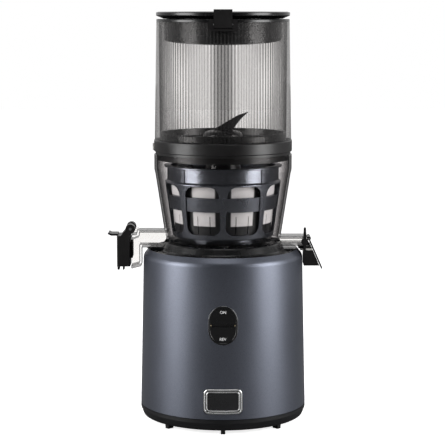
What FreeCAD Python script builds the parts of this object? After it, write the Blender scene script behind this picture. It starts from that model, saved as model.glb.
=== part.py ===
import FreeCAD, Part
import math
import os

# Vertical slow juicer. Millimetres, +Z up, front towards -Y.
# The origin is on the body's axis, in the plane that the feet stand on.

# Fits and gaps
FIT = 0.05          # radial play of a pin or shaft in its hole
SEAT = 0.3          # gap between pieces that sit on or beside each other
BACKLASH = 0.12     # thinning of each gear tooth at its pitch circle

# Body shell
SHELL_TOP_Z = 194.5
SHELL_RIM_R = 83.0
SHELL_FOOT_R = 93.3
SHELL_FOOT_Z = 17.6
SHELL_WALL = 2.5
SHELL_BOSS_R = 4.5

# Base cover and feet
COVER_TOP_Z = 17.0
COVER_BOTTOM_Z = 4.5
COVER_EDGE_INSET = 3.3
COVER_EDGE_R = SHELL_FOOT_R - COVER_EDGE_INSET
COVER_FLOOR = 3.0
COVER_WALL = 2.5
FOOT_LENGTH = 7.6
FOOT_WIDTH = 5.0
FOOT_INSET = 9.3
FOOT_CIRCLE_R = SHELL_FOOT_R - FOOT_INSET
FOOT_RECESS = 1.5
FOOT_COUNT = 8
SCREW_COUNT = 4
SCREW_R = 1.5
SCREW_HEAD_R = 3.0
SCREW_HEAD_HEIGHT = 1.8
SCREW_LENGTH = 12.0
VENT_SLOT_COUNT = 16
VENT_SLOT_WIDTH = 3.0
VENT_INNER_R = 28.0
VENT_OUTER_R = 52.0

# Deck that closes the body's top and carries the bowl
DECK_EDGE_Z = 193.0
DECK_WALL = 3.0
DECK_VALLEY_R = 71.0
DECK_SEAT_R = 64.0
DECK_SEAT_Z = 201.5
DECK_SEAT_WIDTH = 4.0
DECK_PIT_Z = 190.0
DECK_TOWER_R = 15.0
DECK_TOWER_Z = 196.0
DECK_LUG_TOP_Z = 194.2
DECK_CLIP_COUNT = 4
SHAFT_SEAL_HEIGHT = 3.0
SHAFT_SEAL_WALL = 3.0

# Motor
MOTOR_CAN_R = 42.0
MOTOR_CAN_WALL = 2.0
MOTOR_BOTTOM_Z = 28.0
MOTOR_TOP_Z = 104.0
STATOR_R_IN = 24.0
STATOR_BOTTOM_Z = 46.0
STATOR_TOP_Z = 88.0
ROTOR_R = 23.0
ROTOR_BOTTOM_Z = 48.0
ROTOR_TOP_Z = 86.0
MOTOR_SHAFT_R = 3.0
BEARING_R = 8.0
BEARING_HEIGHT = 5.0
FAN_R = 36.0
FAN_HUB_R = 8.0
FAN_BOTTOM_Z = 13.0
FAN_HEIGHT = 10.0
FAN_BLADE = 1.6
FAN_BLADE_COUNT = 9

# Gear train, two stages that come back to the motor's axis
GEAR_CENTRE = 28.0
FIRST_PINION_TEETH = 10
FIRST_WHEEL_TEETH = 60
SECOND_PINION_TEETH = 10
SECOND_WHEEL_TEETH = 46
PRESSURE_ANGLE = math.radians(25)
GEARBOX_FLOOR_Z = 108.0
GEARBOX_FLOOR = 4.0
FIRST_STAGE_Z = 114.0
FIRST_STAGE_HEIGHT = 7.0
SECOND_STAGE_Z = 124.5
SECOND_STAGE_HEIGHT = 11.0
GEARBOX_ROOF_Z = 139.0
GEARBOX_ROOF = 4.0
GEARBOX_WALL = 3.0
IDLER_PIN_R = 2.5
BRACKET_ARM_COUNT = 4
BRACKET_ARM_WIDTH = 16.0

# Drive shaft that turns the auger
DRIVE_SHAFT_R = 7.0
DRIVE_HEX = 11.0
DRIVE_HEX_Z = 199.0
DRIVE_TOP_Z = 224.0
SHAFT_SEAL_R = DRIVE_SHAFT_R + SHAFT_SEAL_WALL

# Rounded corner of the shell, and what is set into its wall
SHELL_CORNER_R = 89.45
SHELL_CORNER_Z = 186.5
SHELL_CORNER_ROUND = 8.0
SHELL_LIP = 5.0
SHELL_BOSS_HEIGHT = 16.0
SCREW_INSET = 9.3
SCREW_CIRCLE_R = SHELL_FOOT_R - SCREW_INSET
SCREW_SEAT_Z = 8.0
COVER_EDGE_ROUND = 3.0
BADGE_WIDTH = 42.2
BADGE_HEIGHT = 27.6
BADGE_CORNER = 5.0
BADGE_Z = 37.4
BADGE_DEPTH = 1.4
BADGE_BORDER = 3.3
BADGE_PROUD = 0.5
GLAND_R = 5.0
GLAND_Z = 35.0
GLAND_FLANGE_R = 7.5
GLAND_BORE_R = 3.2

# Raised lugs of the deck under the two spouts
LUG_CHEEK_TOP_Z = 196.5
LUG_REACH = 86.0
LUG_HALF_WIDTH = 17.0
CHANNEL_PLAY = 0.4

# Buttons
CONTROL_HALF_WIDTH = 15.3
CONTROL_HALF_HEIGHT = 20.7
CONTROL_Z = 121.2
BEZEL_HALF_WIDTH = 16.0
BEZEL_HALF_HEIGHT = 21.4
BEZEL_LAP = 1.2
BEZEL_PROUD = 0.6
GUIDE_DEPTH = 12.9
GUIDE_WALL = 1.2
GUIDE_BAR = 1.8
GUIDE_FLANGE = 3.0
LAMP_R = 0.5
LAMP_X = 13.0
LAMP_PROUD = 0.2
BUTTON_GAP = 0.4
BUTTON_PROUD = 1.0
BUTTON_THICK = 3.0
BUTTON_STEM_Z = 10.6
BUTTON_STEM_R = 2.5
BUTTON_TRAVEL = 1.5
BUTTON_SPRING_R = 4.5
BUTTON_SPRING_WIRE = 0.3
BUTTON_SPRING_TURNS = 4
SWITCH_FRONT_R = 81.0
SWITCH_HALF = 2.2
BOARD_THICK = 1.6

# Motor details
MOTOR_VENT_WIDTH = 5.0
MOTOR_VENT_R = 14.0
MOTOR_VENT_COUNT = 8
MOTOR_SHAFT_BOTTOM_Z = 11.0
WINDING_MARGIN = 3.0
WINDING_HEIGHT = 9.0
BRACKET_WALL_GAP = 5.3
BRACKET_Z = 104.3
BRACKET_THICK = 3.4
BRACKET_PLATE_R = 46.0
UPPER_BEARING_Z = 99.0

# Gear teeth and gearbox details
FIRST_MODULE = 0.8
SECOND_MODULE = 1.0
TOOTH_ADDENDUM = 0.8
TOOTH_DEDENDUM = 1.0
FLANK_STEPS = 5
SECOND_DISH_R = 18.0
SHAFT_BEARING_R = 13.0
SHAFT_BEARING_HEIGHT = 6.0
GEARBOX_HALF_WIDTH = 30.0
GEARBOX_SCREW_R = 2.0
GEARBOX_SCREW_X = 34.5
GEARBOX_SCREW_Y = 4.0
GEARBOX_EAR_R = 6.0
GEARBOX_EAR_HEIGHT = 10.0
GEARBOX_SCREW_HEAD = 1.6

# Control board at the back
CIRCUIT_BOARD_Y = 62.0
CIRCUIT_BOARD_WIDTH = 60.0
CIRCUIT_BOARD_Z = 12.0
CIRCUIT_BOARD_HEIGHT = 78.0
RAIL_HEIGHT = 20.0
BOARD_BLOCKS = (        # x, z, width, height and depth of each block
    (-18.0, 60.0, 14.0, 22.0, 8.0),
    (2.0, 58.0, 18.0, 18.0, 7.0),
    (20.0, 62.0, 10.0, 14.0, 6.0),
    (-10.0, 36.0, 20.0, 12.0, 7.0),
)

# Juice bowl
BOWL_FOOT_R = 63.5
BOWL_FOOT_Z = DECK_SEAT_Z + SEAT
BOWL_FLOOR_TOP_Z = 204.8
BOWL_LOW_R = 65.5
BOWL_LOW_Z = 210.0
BOWL_HIGH_R = 75.8
BOWL_HIGH_Z = 278.0
BOWL_FLARE = 5.0
BOWL_FLANGE_R = 77.0
BOWL_TOP_Z = 300.2
BOWL_WALL = 2.5
BOWL_BOSS_R = 15.0
BOWL_BOSS_TOP_Z = 212.0
BOWL_SEAL_R = 12.5
BOWL_SEAL_HEIGHT = 4.0
BOWL_SKIRT_R = 59.4
BOWL_SKIRT_Z = 192.0
BOWL_LUG_COUNT = 4
BOWL_LUG_WIDTH = 14.0
BOWL_LUG_HEIGHT = 2.2
BOWL_LUG_PROUD = 0.2
BOWL_LUG_Z = 288.0

# Juice spout on the left
DUCT_FLOOR_Z = 195.2
DUCT_WALL = 2.5
DUCT_TOP_END_X = 97.0
JUICE_DUCT_TOP_Z = 214.2
JUICE_DUCT_HALF = 13.0
MOUTH_BACK_X = 91.5
MOUTH_X = 103.2
MOUTH_LOW_Z = 171.0
MOUTH_RISE = 3.0
MOUTH_TOP_Z = 209.0

# Cap of the juice spout
CAP_HINGE_X = 103.8
CAP_HINGE_Z = 216.3
CAP_EYE_R = 5.4
CAP_EAR_IN = 5.0
CAP_EAR_OUT = 8.0
CAP_PIN_R = 1.5
PIN_CUT = 40.0
CAP_LEFT_X = 119.0
CAP_RIGHT_X = 104.2
CAP_HALF = 15.0
CAP_LOW_Z = 174.0
CAP_TOP_Z = 208.6
CAP_WALL = 2.5
CAP_EDGE_ROUND = 1.2
CAP_LIP = 2.3
CAP_LIP_HALF = 6.0
CAP_LIP_DROP = 5.0
CAP_LIP_SPACING = 6.0
CAP_RIB = 1.7
CAP_TAB_X = 129.7
CAP_TAB_THICK = 1.9
CAP_TAB_HALF = 10.0
PAD_LOW_Z = 183.0
PAD_TOP_Z = 201.5
PAD_DEPTH = 2.7

# Pulp spout on the right
PULP_PORT_X = 46.0
PULP_DUCT_LOW_Z = 197.4
PULP_DUCT_TOP_Z = 207.5
PULP_DUCT_HALF = 15.0
PULP_DUCT_END_X = 92.5
PULP_DROP_X = 93.0
GASKET_X = 84.5
TRIM_X = 86.5
CHUTE_TOP_Z = 194.6
CHUTE_TRIM_Z = 192.5
CHUTE_X = 90.6
CHUTE_LOW_Z = 175.0
CHUTE_WALL = 2.0
FLAP_TOP_X = 96.8
FLAP_TOP_Z = 202.0
FLAP_LOW_X = 110.2
FLAP_LOW_Z = 171.4
FLAP_GAP = 0.5
FLAP_THICK = 1.6
FLAP_HINGE_X = 96.6
FLAP_HINGE_Z = 205.2
FLAP_EYE_R = 2.2
FLAP_PIN_R = 0.8
FLAP_EAR_IN = 9.4
FLAP_EAR_OUT = 12.0
LEVER_X = 91.5
LEVER_Z = 202.45
LEVER_TOP_Z = 218.5
LEVER_LOW_Z = 185.5
LEVER_HALF = 2.0
LEVER_THICK = 3.7
LEVER_HUB_R = 4.0
LEVER_SHAFT_R = 1.6
VANE_THICK = 1.6
VANE_HALF = 2.3

# Strainer
STRAINER_LOW_R = 56.5
STRAINER_LOW_Z = 208.0
STRAINER_HIGH_R = 65.0
STRAINER_STEP_Z = 270.0
STRAINER_TOP_R = 61.5
STRAINER_TOP_Z = 288.0
STRAINER_FLANGE_R = 66.0
STRAINER_WALL = 2.5
STRAINER_FOOT_R = 44.0
STRAINER_SECTORS = 8
STRAINER_BAR = 7.0
STRAINER_INNER_CUT_R = 35.0
WINDOW_LOW_Z = 214.0
WINDOW_TOP_Z = 268.0
WINDOW_CORNER = 10.0
BAND_LOW_Z = 240.0
BAND_TOP_Z = 255.5
BAND_INSET = 1.2
LINER_WALL = 1.5
LINER_SLIT = 1.0
LINER_SLIT_HEIGHT = 20.0
LINER_SLIT_COUNT = 24

# Auger
AUGER_NECK_R = 10.0
AUGER_NECK_LOW_Z = 206.0
AUGER_CORE_LOW_Z = 213.0
AUGER_CORE_TOP_Z = 296.0
AUGER_TOP_Z = 316.0
AUGER_LOW_R = 30.0
AUGER_TOP_R = 18.0
AUGER_SPIGOT_R = 12.0
AUGER_SPIGOT_HEIGHT = 6.0
AUGER_STARTS = 2
AUGER_PITCH = 80.0
AUGER_FLIGHT = 4.0
AUGER_FLIGHT_R = 48.0
AUGER_FLIGHT_LOW_Z = 217.0
AUGER_FLIGHT_TOP_Z = 282.0
SOCKET_R = 9.0
SOCKET_TOP_Z = 226.0
WING_HUB_R = 22.0
WING_HUB_TOP_Z = 328.4
WING_TIP_X = 28.3
WING_TIP_Z = 346.6
WING_HALF = 4.0

# Hopper
HOPPER_LOW_R = 76.35
HOPPER_LOW_Z = 316.5
HOPPER_TOP_R = 74.0
HOPPER_TOP_Z = 446.3
HOPPER_SPIGOT_R = 73.5
HOPPER_SPIGOT_Z = 308.0
HOPPER_WALL = 2.6
RING_R = 77.2
RING_LOW_Z = 303.2
RING_TOP_Z = 316.2
RING_NECK_R = 75.5
RING_SKIRT_Z = 294.0
RING_LEDGE = 4.2
RING_LEDGE_Z = 304.0
RING_WALL = 2.5
FLOOR_HOLE_R = 30.5
FLOOR_LOW_Z = 303.0
FLOOR_RIM_Z = 324.0
FLOOR_WALL = 2.5
FEED_REACH = 60.0
TAB_WIDTH = 4.0
TAB_PROUD = 1.5
TAB_LOW_Z = 303.8
TAB_HEIGHT = 8.0
COLLAR_R = 65.2
COLLAR_WALL = 2.0
COLLAR_FRONT_DROP = 24.3
COLLAR_REAR_DROP = 13.8
COLLAR_RISE = 3.3
COLLAR_FRONT_Z = HOPPER_TOP_Z - COLLAR_FRONT_DROP
COLLAR_REAR_Z = HOPPER_TOP_Z - COLLAR_REAR_DROP
COLLAR_RIM_Z = HOPPER_TOP_Z + COLLAR_RISE

# Lid and its latch
LID_R = 74.3
LID_TOP_RISE = 8.4
LID_EDGE_RISE = 3.7
LID_TOP_Z = COLLAR_RIM_Z + LID_TOP_RISE
LID_EDGE_Z = COLLAR_RIM_Z + LID_EDGE_RISE
LID_THICK = 5.0
LID_PLUG = 3.0
LID_PLAY = 0.4
LID_GASKET_DEPTH = 1.0
LID_GASKET_HEIGHT = 1.4
LID_HINGE_Y = 78.0
LID_HINGE_RISE = 2.4
LID_HINGE_Z = COLLAR_RIM_Z + LID_HINGE_RISE
LID_EYE_R = 2.6
LID_EAR = 3.6
LID_PIN_R = 1.5
LID_BARREL_HALF = 8.0
HOUSING_HALF = 15.5
HOUSING_DROP = 12.8
HOUSING_LOW_Z = COLLAR_RIM_Z - HOUSING_DROP
HOUSING_FRONT = 79.4
HOUSING_FLOOR = 2.2
LATCH_HALF = 10.0
LATCH_FRONT = 79.9
LATCH_THICK = 3.0
LATCH_BACK = 75.2
LATCH_DROP = 9.6
LATCH_HEIGHT = 20.0
LATCH_LOW_Z = COLLAR_RIM_Z - LATCH_DROP
LATCH_TOP_Z = LATCH_LOW_Z + LATCH_HEIGHT
LATCH_HOOK = 1.8
LATCH_PIN_R = 0.8
LATCH_PIVOT_Y = 78.4
LATCH_PIVOT_LIFT = 3.5
LATCH_PIVOT_Z = LATCH_LOW_Z + LATCH_PIVOT_LIFT
LATCH_SPRING_R = 1.3
LATCH_SPRING_WIRE = 0.2
WIRE_SIDES = 12


def vec(x, y, z):
    return FreeCAD.Vector(x, y, z)


def box(x0, x1, y0, y1, z0, z1):
    return Part.makeBox(x1 - x0, y1 - y0, z1 - z0, vec(x0, y0, z0))


def rod(radius, start, end):
    """A round bar from one point to another."""
    start = vec(*start)
    along = vec(*end) - start
    return Part.makeCylinder(radius, along.Length, start, along)


def disc(radius, z0, z1, x=0.0, y=0.0):
    return Part.makeCylinder(radius, z1 - z0, vec(x, y, z0))


def tube(outer_r, inner_r, z0, z1, x=0.0, y=0.0):
    return disc(outer_r, z0, z1, x, y).cut(disc(inner_r, z0 - 1, z1 + 1, x, y))


def rounded_wire(points, place):
    """A closed outline through (a, b) corners; a third number rounds that corner."""
    corners = [(p[0], p[1], p[2] if len(p) > 2 else 0.0) for p in points]
    spots = []
    for i, (a, b, radius) in enumerate(corners):
        here = place(a, b)
        if radius <= 0:
            spots.append((here, None, here))
            continue
        back = place(*corners[i - 1][:2]) - here
        ahead = place(*corners[(i + 1) % len(corners)][:2]) - here
        back.normalize()
        ahead.normalize()
        half = back.getAngle(ahead) / 2
        reach = radius / math.tan(half)
        middle = back + ahead
        middle.normalize()
        depth = radius / math.sin(half) - radius
        spots.append((here + back * reach, here + middle * depth, here + ahead * reach))
    edges = []
    for i, (first, bend, last) in enumerate(spots):
        if bend is not None:
            edges.append(Part.Arc(first, bend, last).toShape())
        following = spots[(i + 1) % len(spots)][0]
        if last.distanceToPoint(following) > 1e-6:
            edges.append(Part.LineSegment(last, following).toShape())
    return Part.Wire(edges)


def lathe(points):
    """The solid that an outline of (radius, height) corners makes around the Z axis."""
    face = Part.Face(rounded_wire(points, lambda a, b: vec(a, 0, b)))
    return face.revolve(vec(0, 0, 0), vec(0, 0, 1), 360)


def prism_z(points, z0, z1):
    face = Part.Face(rounded_wire(points, lambda a, b: vec(a, b, z0)))
    return face.extrude(vec(0, 0, z1 - z0))


def prism_y(points, y0, y1):
    face = Part.Face(rounded_wire(points, lambda a, b: vec(a, y0, b)))
    return face.extrude(vec(0, y1 - y0, 0))


def prism_x(points, x0, x1):
    face = Part.Face(rounded_wire(points, lambda a, b: vec(x0, a, b)))
    return face.extrude(vec(x1 - x0, 0, 0))


def turned(shape, degrees, centre=(0, 0, 0), axis=(0, 0, 1)):
    copy = shape.copy()
    copy.rotate(vec(*centre), vec(*axis), degrees)
    return copy


def around(shape, count, start=0.0):
    """Copies of a shape spaced evenly around the Z axis."""
    return [turned(shape, start + 360.0 * i / count) for i in range(count)]


def fused(shapes):
    return shapes[0].multiFuse(shapes[1:]).removeSplitter()


def cone_radius(r0, z0, r1, z1, z):
    """Radius at height z of the cone through two circles."""
    return r0 + (r1 - r0) * (z - z0) / (z1 - z0)


# Casing


def wall_radius(z):
    """Radius of the body's outer surface at a height."""
    return cone_radius(SHELL_FOOT_R, SHELL_FOOT_Z, SHELL_CORNER_R, SHELL_CORNER_Z, z)


def guide_back():
    """Distance of the button guide's back from the axis."""
    return wall_radius(CONTROL_Z) - GUIDE_DEPTH


def bracket_reach():
    """Radius of the motor bracket's arms, just clear of the wall."""
    return wall_radius(BRACKET_Z) - BRACKET_WALL_GAP


def skin(outside, inside, z0, z1):
    """A slice of the body's conical wall, offset outwards and inwards from its surface."""
    r0 = wall_radius(z0)
    r1 = wall_radius(z1)
    return lathe([(r0 + outside, z0), (r1 + outside, z1), (r1 - inside, z1), (r0 - inside, z0)])


def capsule(half_width, half_height, centre_z, y0, y1):
    """An upright pill outline, extruded along Y."""
    low = centre_z - half_height
    high = centre_z + half_height
    corner = half_width * 0.999
    points = [(-half_width, low, corner), (half_width, low, corner)]
    points += [(half_width, high, corner), (-half_width, high, corner)]
    return prism_y(points, y0, y1)


def plate_outline(width, height, corner, centre_z, y0, y1):
    """An upright rounded rectangle, extruded along Y."""
    x = width / 2
    z = height / 2
    points = [(-x, centre_z - z, corner), (x, centre_z - z, corner)]
    points += [(x, centre_z + z, corner), (-x, centre_z + z, corner)]
    return prism_y(points, y0, y1)


def screw_spots(shape):
    """The shape repeated at each cover screw, between the feet."""
    return around(shape, SCREW_COUNT, 180.0 / FOOT_COUNT)


def make_body_shell():
    inner_foot = SHELL_FOOT_R - SHELL_WALL
    inner_corner = SHELL_CORNER_R - SHELL_WALL
    outline = [
        (SHELL_FOOT_R, SHELL_FOOT_Z),
        (SHELL_CORNER_R, SHELL_CORNER_Z, SHELL_CORNER_ROUND),
        (SHELL_RIM_R, SHELL_TOP_Z, 0.5),
        (SHELL_RIM_R, SHELL_TOP_Z - SHELL_LIP),
        (SHELL_RIM_R + 2, SHELL_TOP_Z - SHELL_LIP),
        (inner_corner, SHELL_CORNER_Z - SHELL_WALL),
        (inner_foot, SHELL_FOOT_Z),
    ]
    shell = lathe(outline)
    boss_top = SHELL_FOOT_Z + SHELL_BOSS_HEIGHT
    boss = disc(SHELL_BOSS_R, SHELL_FOOT_Z, boss_top, SCREW_CIRCLE_R)
    half_web = SHELL_BOSS_R / 2
    web = box(SCREW_CIRCLE_R, inner_foot + 0.4, -half_web, half_web, SHELL_FOOT_Z, boss_top)
    pieces = [shell] + screw_spots(boss) + screw_spots(web)
    half_arm = BRACKET_ARM_WIDTH / 2
    ledge = box(bracket_reach() - 6, bracket_reach() + 4, -half_arm, half_arm, BRACKET_Z - 6, BRACKET_Z - SEAT)
    ledge = ledge.common(skin(-SHELL_WALL / 2, bracket_reach(), BRACKET_Z - 6, BRACKET_Z))
    pieces += around(ledge, BRACKET_ARM_COUNT, 45)
    shell = fused(pieces)
    hole_r = SCREW_R + FIT
    holes = screw_spots(disc(hole_r, SHELL_FOOT_Z - 1, boss_top - 2, SCREW_CIRCLE_R))
    control_hole = capsule(CONTROL_HALF_WIDTH, CONTROL_HALF_HEIGHT, CONTROL_Z, -SHELL_FOOT_R, -SHELL_FOOT_R / 2)
    badge_pocket = plate_outline(
        BADGE_WIDTH + 2 * SEAT, BADGE_HEIGHT + 2 * SEAT, BADGE_CORNER, BADGE_Z, -SHELL_FOOT_R - 1, 0
    )
    badge_pocket = badge_pocket.common(skin(1, BADGE_DEPTH, BADGE_Z - BADGE_HEIGHT, BADGE_Z + BADGE_HEIGHT))
    gland_hole = rod(GLAND_R, (0, SHELL_FOOT_R - 8, GLAND_Z), (0, SHELL_FOOT_R + 8, GLAND_Z))
    return shell.cut(holes + [control_hole, badge_pocket, gland_hole])


def board_rails():
    """Two grooved uprights of the cover that carry the control board."""
    rails = []
    low = COVER_BOTTOM_Z + COVER_FLOOR - 0.5
    high = CIRCUIT_BOARD_Z + RAIL_HEIGHT
    y0 = CIRCUIT_BOARD_Y
    y1 = CIRCUIT_BOARD_Y + BOARD_THICK
    for side in (-1, 1):
        edge = side * CIRCUIT_BOARD_WIDTH / 2
        x0, x1 = sorted((edge - side * 2, edge + side * 3))
        rail = box(x0, x1, y0 - 2, y1 + 2, low, high)
        x0, x1 = sorted((edge - side * 3, edge + side * SEAT))
        slot = box(x0, x1, y0 - FIT, y1 + FIT, CIRCUIT_BOARD_Z - SEAT, high + 1)
        rails.append(rail.cut(slot))
    return rails


def make_base_cover():
    top_in = SHELL_FOOT_R - COVER_WALL
    floor_z = COVER_BOTTOM_Z + COVER_FLOOR
    outline = [
        (0, COVER_BOTTOM_Z),
        (COVER_EDGE_R, COVER_BOTTOM_Z, COVER_EDGE_ROUND),
        (SHELL_FOOT_R, COVER_TOP_Z - 4),
        (SHELL_FOOT_R, COVER_TOP_Z),
        (top_in, COVER_TOP_Z),
        (COVER_EDGE_R - COVER_WALL, floor_z),
        (0, floor_z),
    ]
    cover = lathe(outline)
    boss = disc(SHELL_BOSS_R, COVER_BOTTOM_Z + 1, SHELL_FOOT_Z - SEAT, SCREW_CIRCLE_R)
    cover = fused([cover] + screw_spots(boss) + board_rails())
    cuts = screw_spots(disc(SCREW_R + FIT, 0, SHELL_FOOT_Z, SCREW_CIRCLE_R))
    cuts += screw_spots(disc(SCREW_HEAD_R + FIT, 0, SCREW_SEAT_Z, SCREW_CIRCLE_R))
    half_slot = VENT_SLOT_WIDTH / 2
    slot = box(VENT_INNER_R, VENT_OUTER_R, -half_slot, half_slot, 0, floor_z + 1)
    cuts += around(slot, VENT_SLOT_COUNT, 180.0 / VENT_SLOT_COUNT)
    half_foot = FOOT_WIDTH / 2 + FIT
    x0 = FOOT_CIRCLE_R - FOOT_LENGTH / 2 - FIT
    x1 = FOOT_CIRCLE_R + FOOT_LENGTH / 2 + FIT
    recess = box(x0, x1, -half_foot, half_foot, 0, COVER_BOTTOM_Z + FOOT_RECESS)
    cuts += around(recess, FOOT_COUNT)
    return cover.cut(cuts)


def make_feet():
    half_foot = FOOT_WIDTH / 2
    x0 = FOOT_CIRCLE_R - FOOT_LENGTH / 2
    x1 = FOOT_CIRCLE_R + FOOT_LENGTH / 2
    foot = box(x0, x1, -half_foot, half_foot, 0, COVER_BOTTOM_Z + FOOT_RECESS)
    return Part.makeCompound(around(foot, FOOT_COUNT))


def make_screws(radius, head_r, head_height, seat_z, length, spots):
    """Screws with their heads down, one solid at each (x, y)."""
    screws = []
    for x, y in spots:
        head = disc(head_r, seat_z - head_height, seat_z, x, y)
        shank = disc(radius, seat_z, seat_z + length, x, y)
        slot = box(x - head_r, x + head_r, y - 0.4, y + 0.4, seat_z - head_height - 1, seat_z - head_height + 0.8)
        screws.append(fused([head, shank]).cut(slot))
    return Part.makeCompound(screws)


def ring_spots(radius, count, start):
    """Evenly spaced (x, y) places on a circle."""
    turns = [math.radians(start + 360.0 * i / count) for i in range(count)]
    return [(radius * math.cos(t), radius * math.sin(t)) for t in turns]


def make_cover_screws():
    spots = ring_spots(SCREW_CIRCLE_R, SCREW_COUNT, 180.0 / FOOT_COUNT)
    return make_screws(SCREW_R, SCREW_HEAD_R, SCREW_HEAD_HEIGHT, SCREW_SEAT_Z, SCREW_LENGTH, spots)


def deck_lug(reach, top_z, duct_half):
    """Solid lug on the +X side, and the channel in it that a duct lies in."""
    inner = DECK_SEAT_R - DECK_SEAT_WIDTH
    edge_r = SHELL_RIM_R - SEAT
    under = DECK_EDGE_Z - DECK_WALL
    outline = [(inner, under), (edge_r, under), (edge_r, top_z)]
    if reach > edge_r:
        step_z = SHELL_TOP_Z + SEAT
        outline = [(inner, under), (edge_r, under), (edge_r, step_z), (reach, step_z), (reach, top_z, 1.0)]
    outline += [(DECK_VALLEY_R - 1, top_z), (DECK_SEAT_R + 2, DECK_SEAT_Z), (inner, DECK_SEAT_Z)]
    block = box(0, reach + 1, -LUG_HALF_WIDTH, LUG_HALF_WIDTH, under, DECK_SEAT_Z)
    half = duct_half + CHANNEL_PLAY
    channel = box(inner - 4, reach + 1, -half, half, DECK_LUG_TOP_Z, DECK_SEAT_Z + 1)
    return lathe(outline).common(block), channel


def make_top_deck():
    edge_r = SHELL_RIM_R - SEAT
    under = DECK_EDGE_Z - DECK_WALL
    seat_in = DECK_SEAT_R - DECK_SEAT_WIDTH
    seat_under = DECK_SEAT_Z - DECK_WALL
    outline = [
        (edge_r, under),
        (edge_r, DECK_EDGE_Z, 1.0),
        (DECK_VALLEY_R, DECK_EDGE_Z, 3.0),
        (DECK_SEAT_R + 2, DECK_SEAT_Z, 3.0),
        (seat_in, DECK_SEAT_Z),
        (seat_in, DECK_PIT_Z),
        (DECK_TOWER_R, DECK_PIT_Z),
        (DECK_TOWER_R, DECK_TOWER_Z, 1.0),
        (SHAFT_SEAL_R, DECK_TOWER_Z),
        (SHAFT_SEAL_R, DECK_TOWER_Z - SHAFT_SEAL_HEIGHT),
        (DRIVE_SHAFT_R + SEAT, DECK_TOWER_Z - SHAFT_SEAL_HEIGHT),
        (DRIVE_SHAFT_R + SEAT, DECK_PIT_Z - DECK_WALL),
        (seat_in + DECK_WALL, DECK_PIT_Z - DECK_WALL),
        (seat_in + DECK_WALL, seat_under - 1, 1.0),
        (DECK_VALLEY_R - 1, under, 2.0),
    ]
    deck = lathe(outline)
    clip_in = SHELL_RIM_R - SEAT - 2
    clip = box(clip_in, SHELL_RIM_R - SEAT - 0.2, -4, 4, SHELL_TOP_Z - SHELL_LIP - 4, DECK_EDGE_Z - 1)
    barb_z = SHELL_TOP_Z - SHELL_LIP - SEAT
    barb = box(clip_in, SHELL_RIM_R + 0.8, -4, 4, barb_z - 2, barb_z)
    clips = around(fused([clip, barb]), DECK_CLIP_COUNT, 45)
    juice_lug, juice_channel = deck_lug(LUG_REACH, LUG_CHEEK_TOP_Z, JUICE_DUCT_HALF)
    pulp_lug, pulp_channel = deck_lug(edge_r, DECK_LUG_TOP_Z, PULP_DUCT_HALF)
    deck = fused([deck, turned(juice_lug, 180), pulp_lug] + clips)
    return deck.cut([turned(juice_channel, 180), pulp_channel])


def make_shaft_seal():
    inner = DRIVE_SHAFT_R + FIT
    return tube(SHAFT_SEAL_R - FIT, inner, DECK_TOWER_Z - SHAFT_SEAL_HEIGHT, DECK_TOWER_Z)


def make_cord_gland():
    wall_r = wall_radius(GLAND_Z)
    outer = rod(GLAND_FLANGE_R, (0, wall_r + SEAT, GLAND_Z), (0, wall_r + 2.3, GLAND_Z))
    neck = rod(GLAND_R - FIT, (0, wall_r - 6, GLAND_Z), (0, wall_r + 1, GLAND_Z))
    bore = rod(GLAND_BORE_R, (0, wall_r - 10, GLAND_Z), (0, wall_r + 10, GLAND_Z))
    return fused([outer, neck]).cut(bore)


def make_badge_frame():
    outer = plate_outline(BADGE_WIDTH, BADGE_HEIGHT, BADGE_CORNER, BADGE_Z, -SHELL_FOOT_R - 5, 0)
    inner_w = BADGE_WIDTH - 2 * BADGE_BORDER
    inner_h = BADGE_HEIGHT - 2 * BADGE_BORDER
    corner = BADGE_CORNER - BADGE_BORDER / 2
    inner = plate_outline(inner_w, inner_h, corner, BADGE_Z, -SHELL_FOOT_R - 5, 0)
    layer = skin(BADGE_PROUD, BADGE_DEPTH - SEAT, BADGE_Z - BADGE_HEIGHT, BADGE_Z + BADGE_HEIGHT)
    return outer.cut(inner).common(layer)


def make_badge_plate():
    width = BADGE_WIDTH - 2 * BADGE_BORDER - 2 * FIT
    height = BADGE_HEIGHT - 2 * BADGE_BORDER - 2 * FIT
    corner = BADGE_CORNER - BADGE_BORDER / 2
    plate = plate_outline(width, height, corner, BADGE_Z, -SHELL_FOOT_R - 5, 0)
    layer = skin(0, BADGE_DEPTH - SEAT, BADGE_Z - BADGE_HEIGHT, BADGE_Z + BADGE_HEIGHT)
    return plate.common(layer)


# Controls


def make_button_bezel():
    deep = -SHELL_FOOT_R - 5
    outer = capsule(BEZEL_HALF_WIDTH, BEZEL_HALF_HEIGHT, CONTROL_Z, deep, 0)
    inner_w = CONTROL_HALF_WIDTH - BEZEL_LAP
    inner_h = CONTROL_HALF_HEIGHT - BEZEL_LAP
    inner = capsule(inner_w, inner_h, CONTROL_Z, deep, 0)
    z0 = CONTROL_Z - BEZEL_HALF_HEIGHT - 2
    z1 = CONTROL_Z + BEZEL_HALF_HEIGHT + 2
    return outer.cut(inner).common(skin(BEZEL_PROUD, -SEAT / 3, z0, z1))


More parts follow.
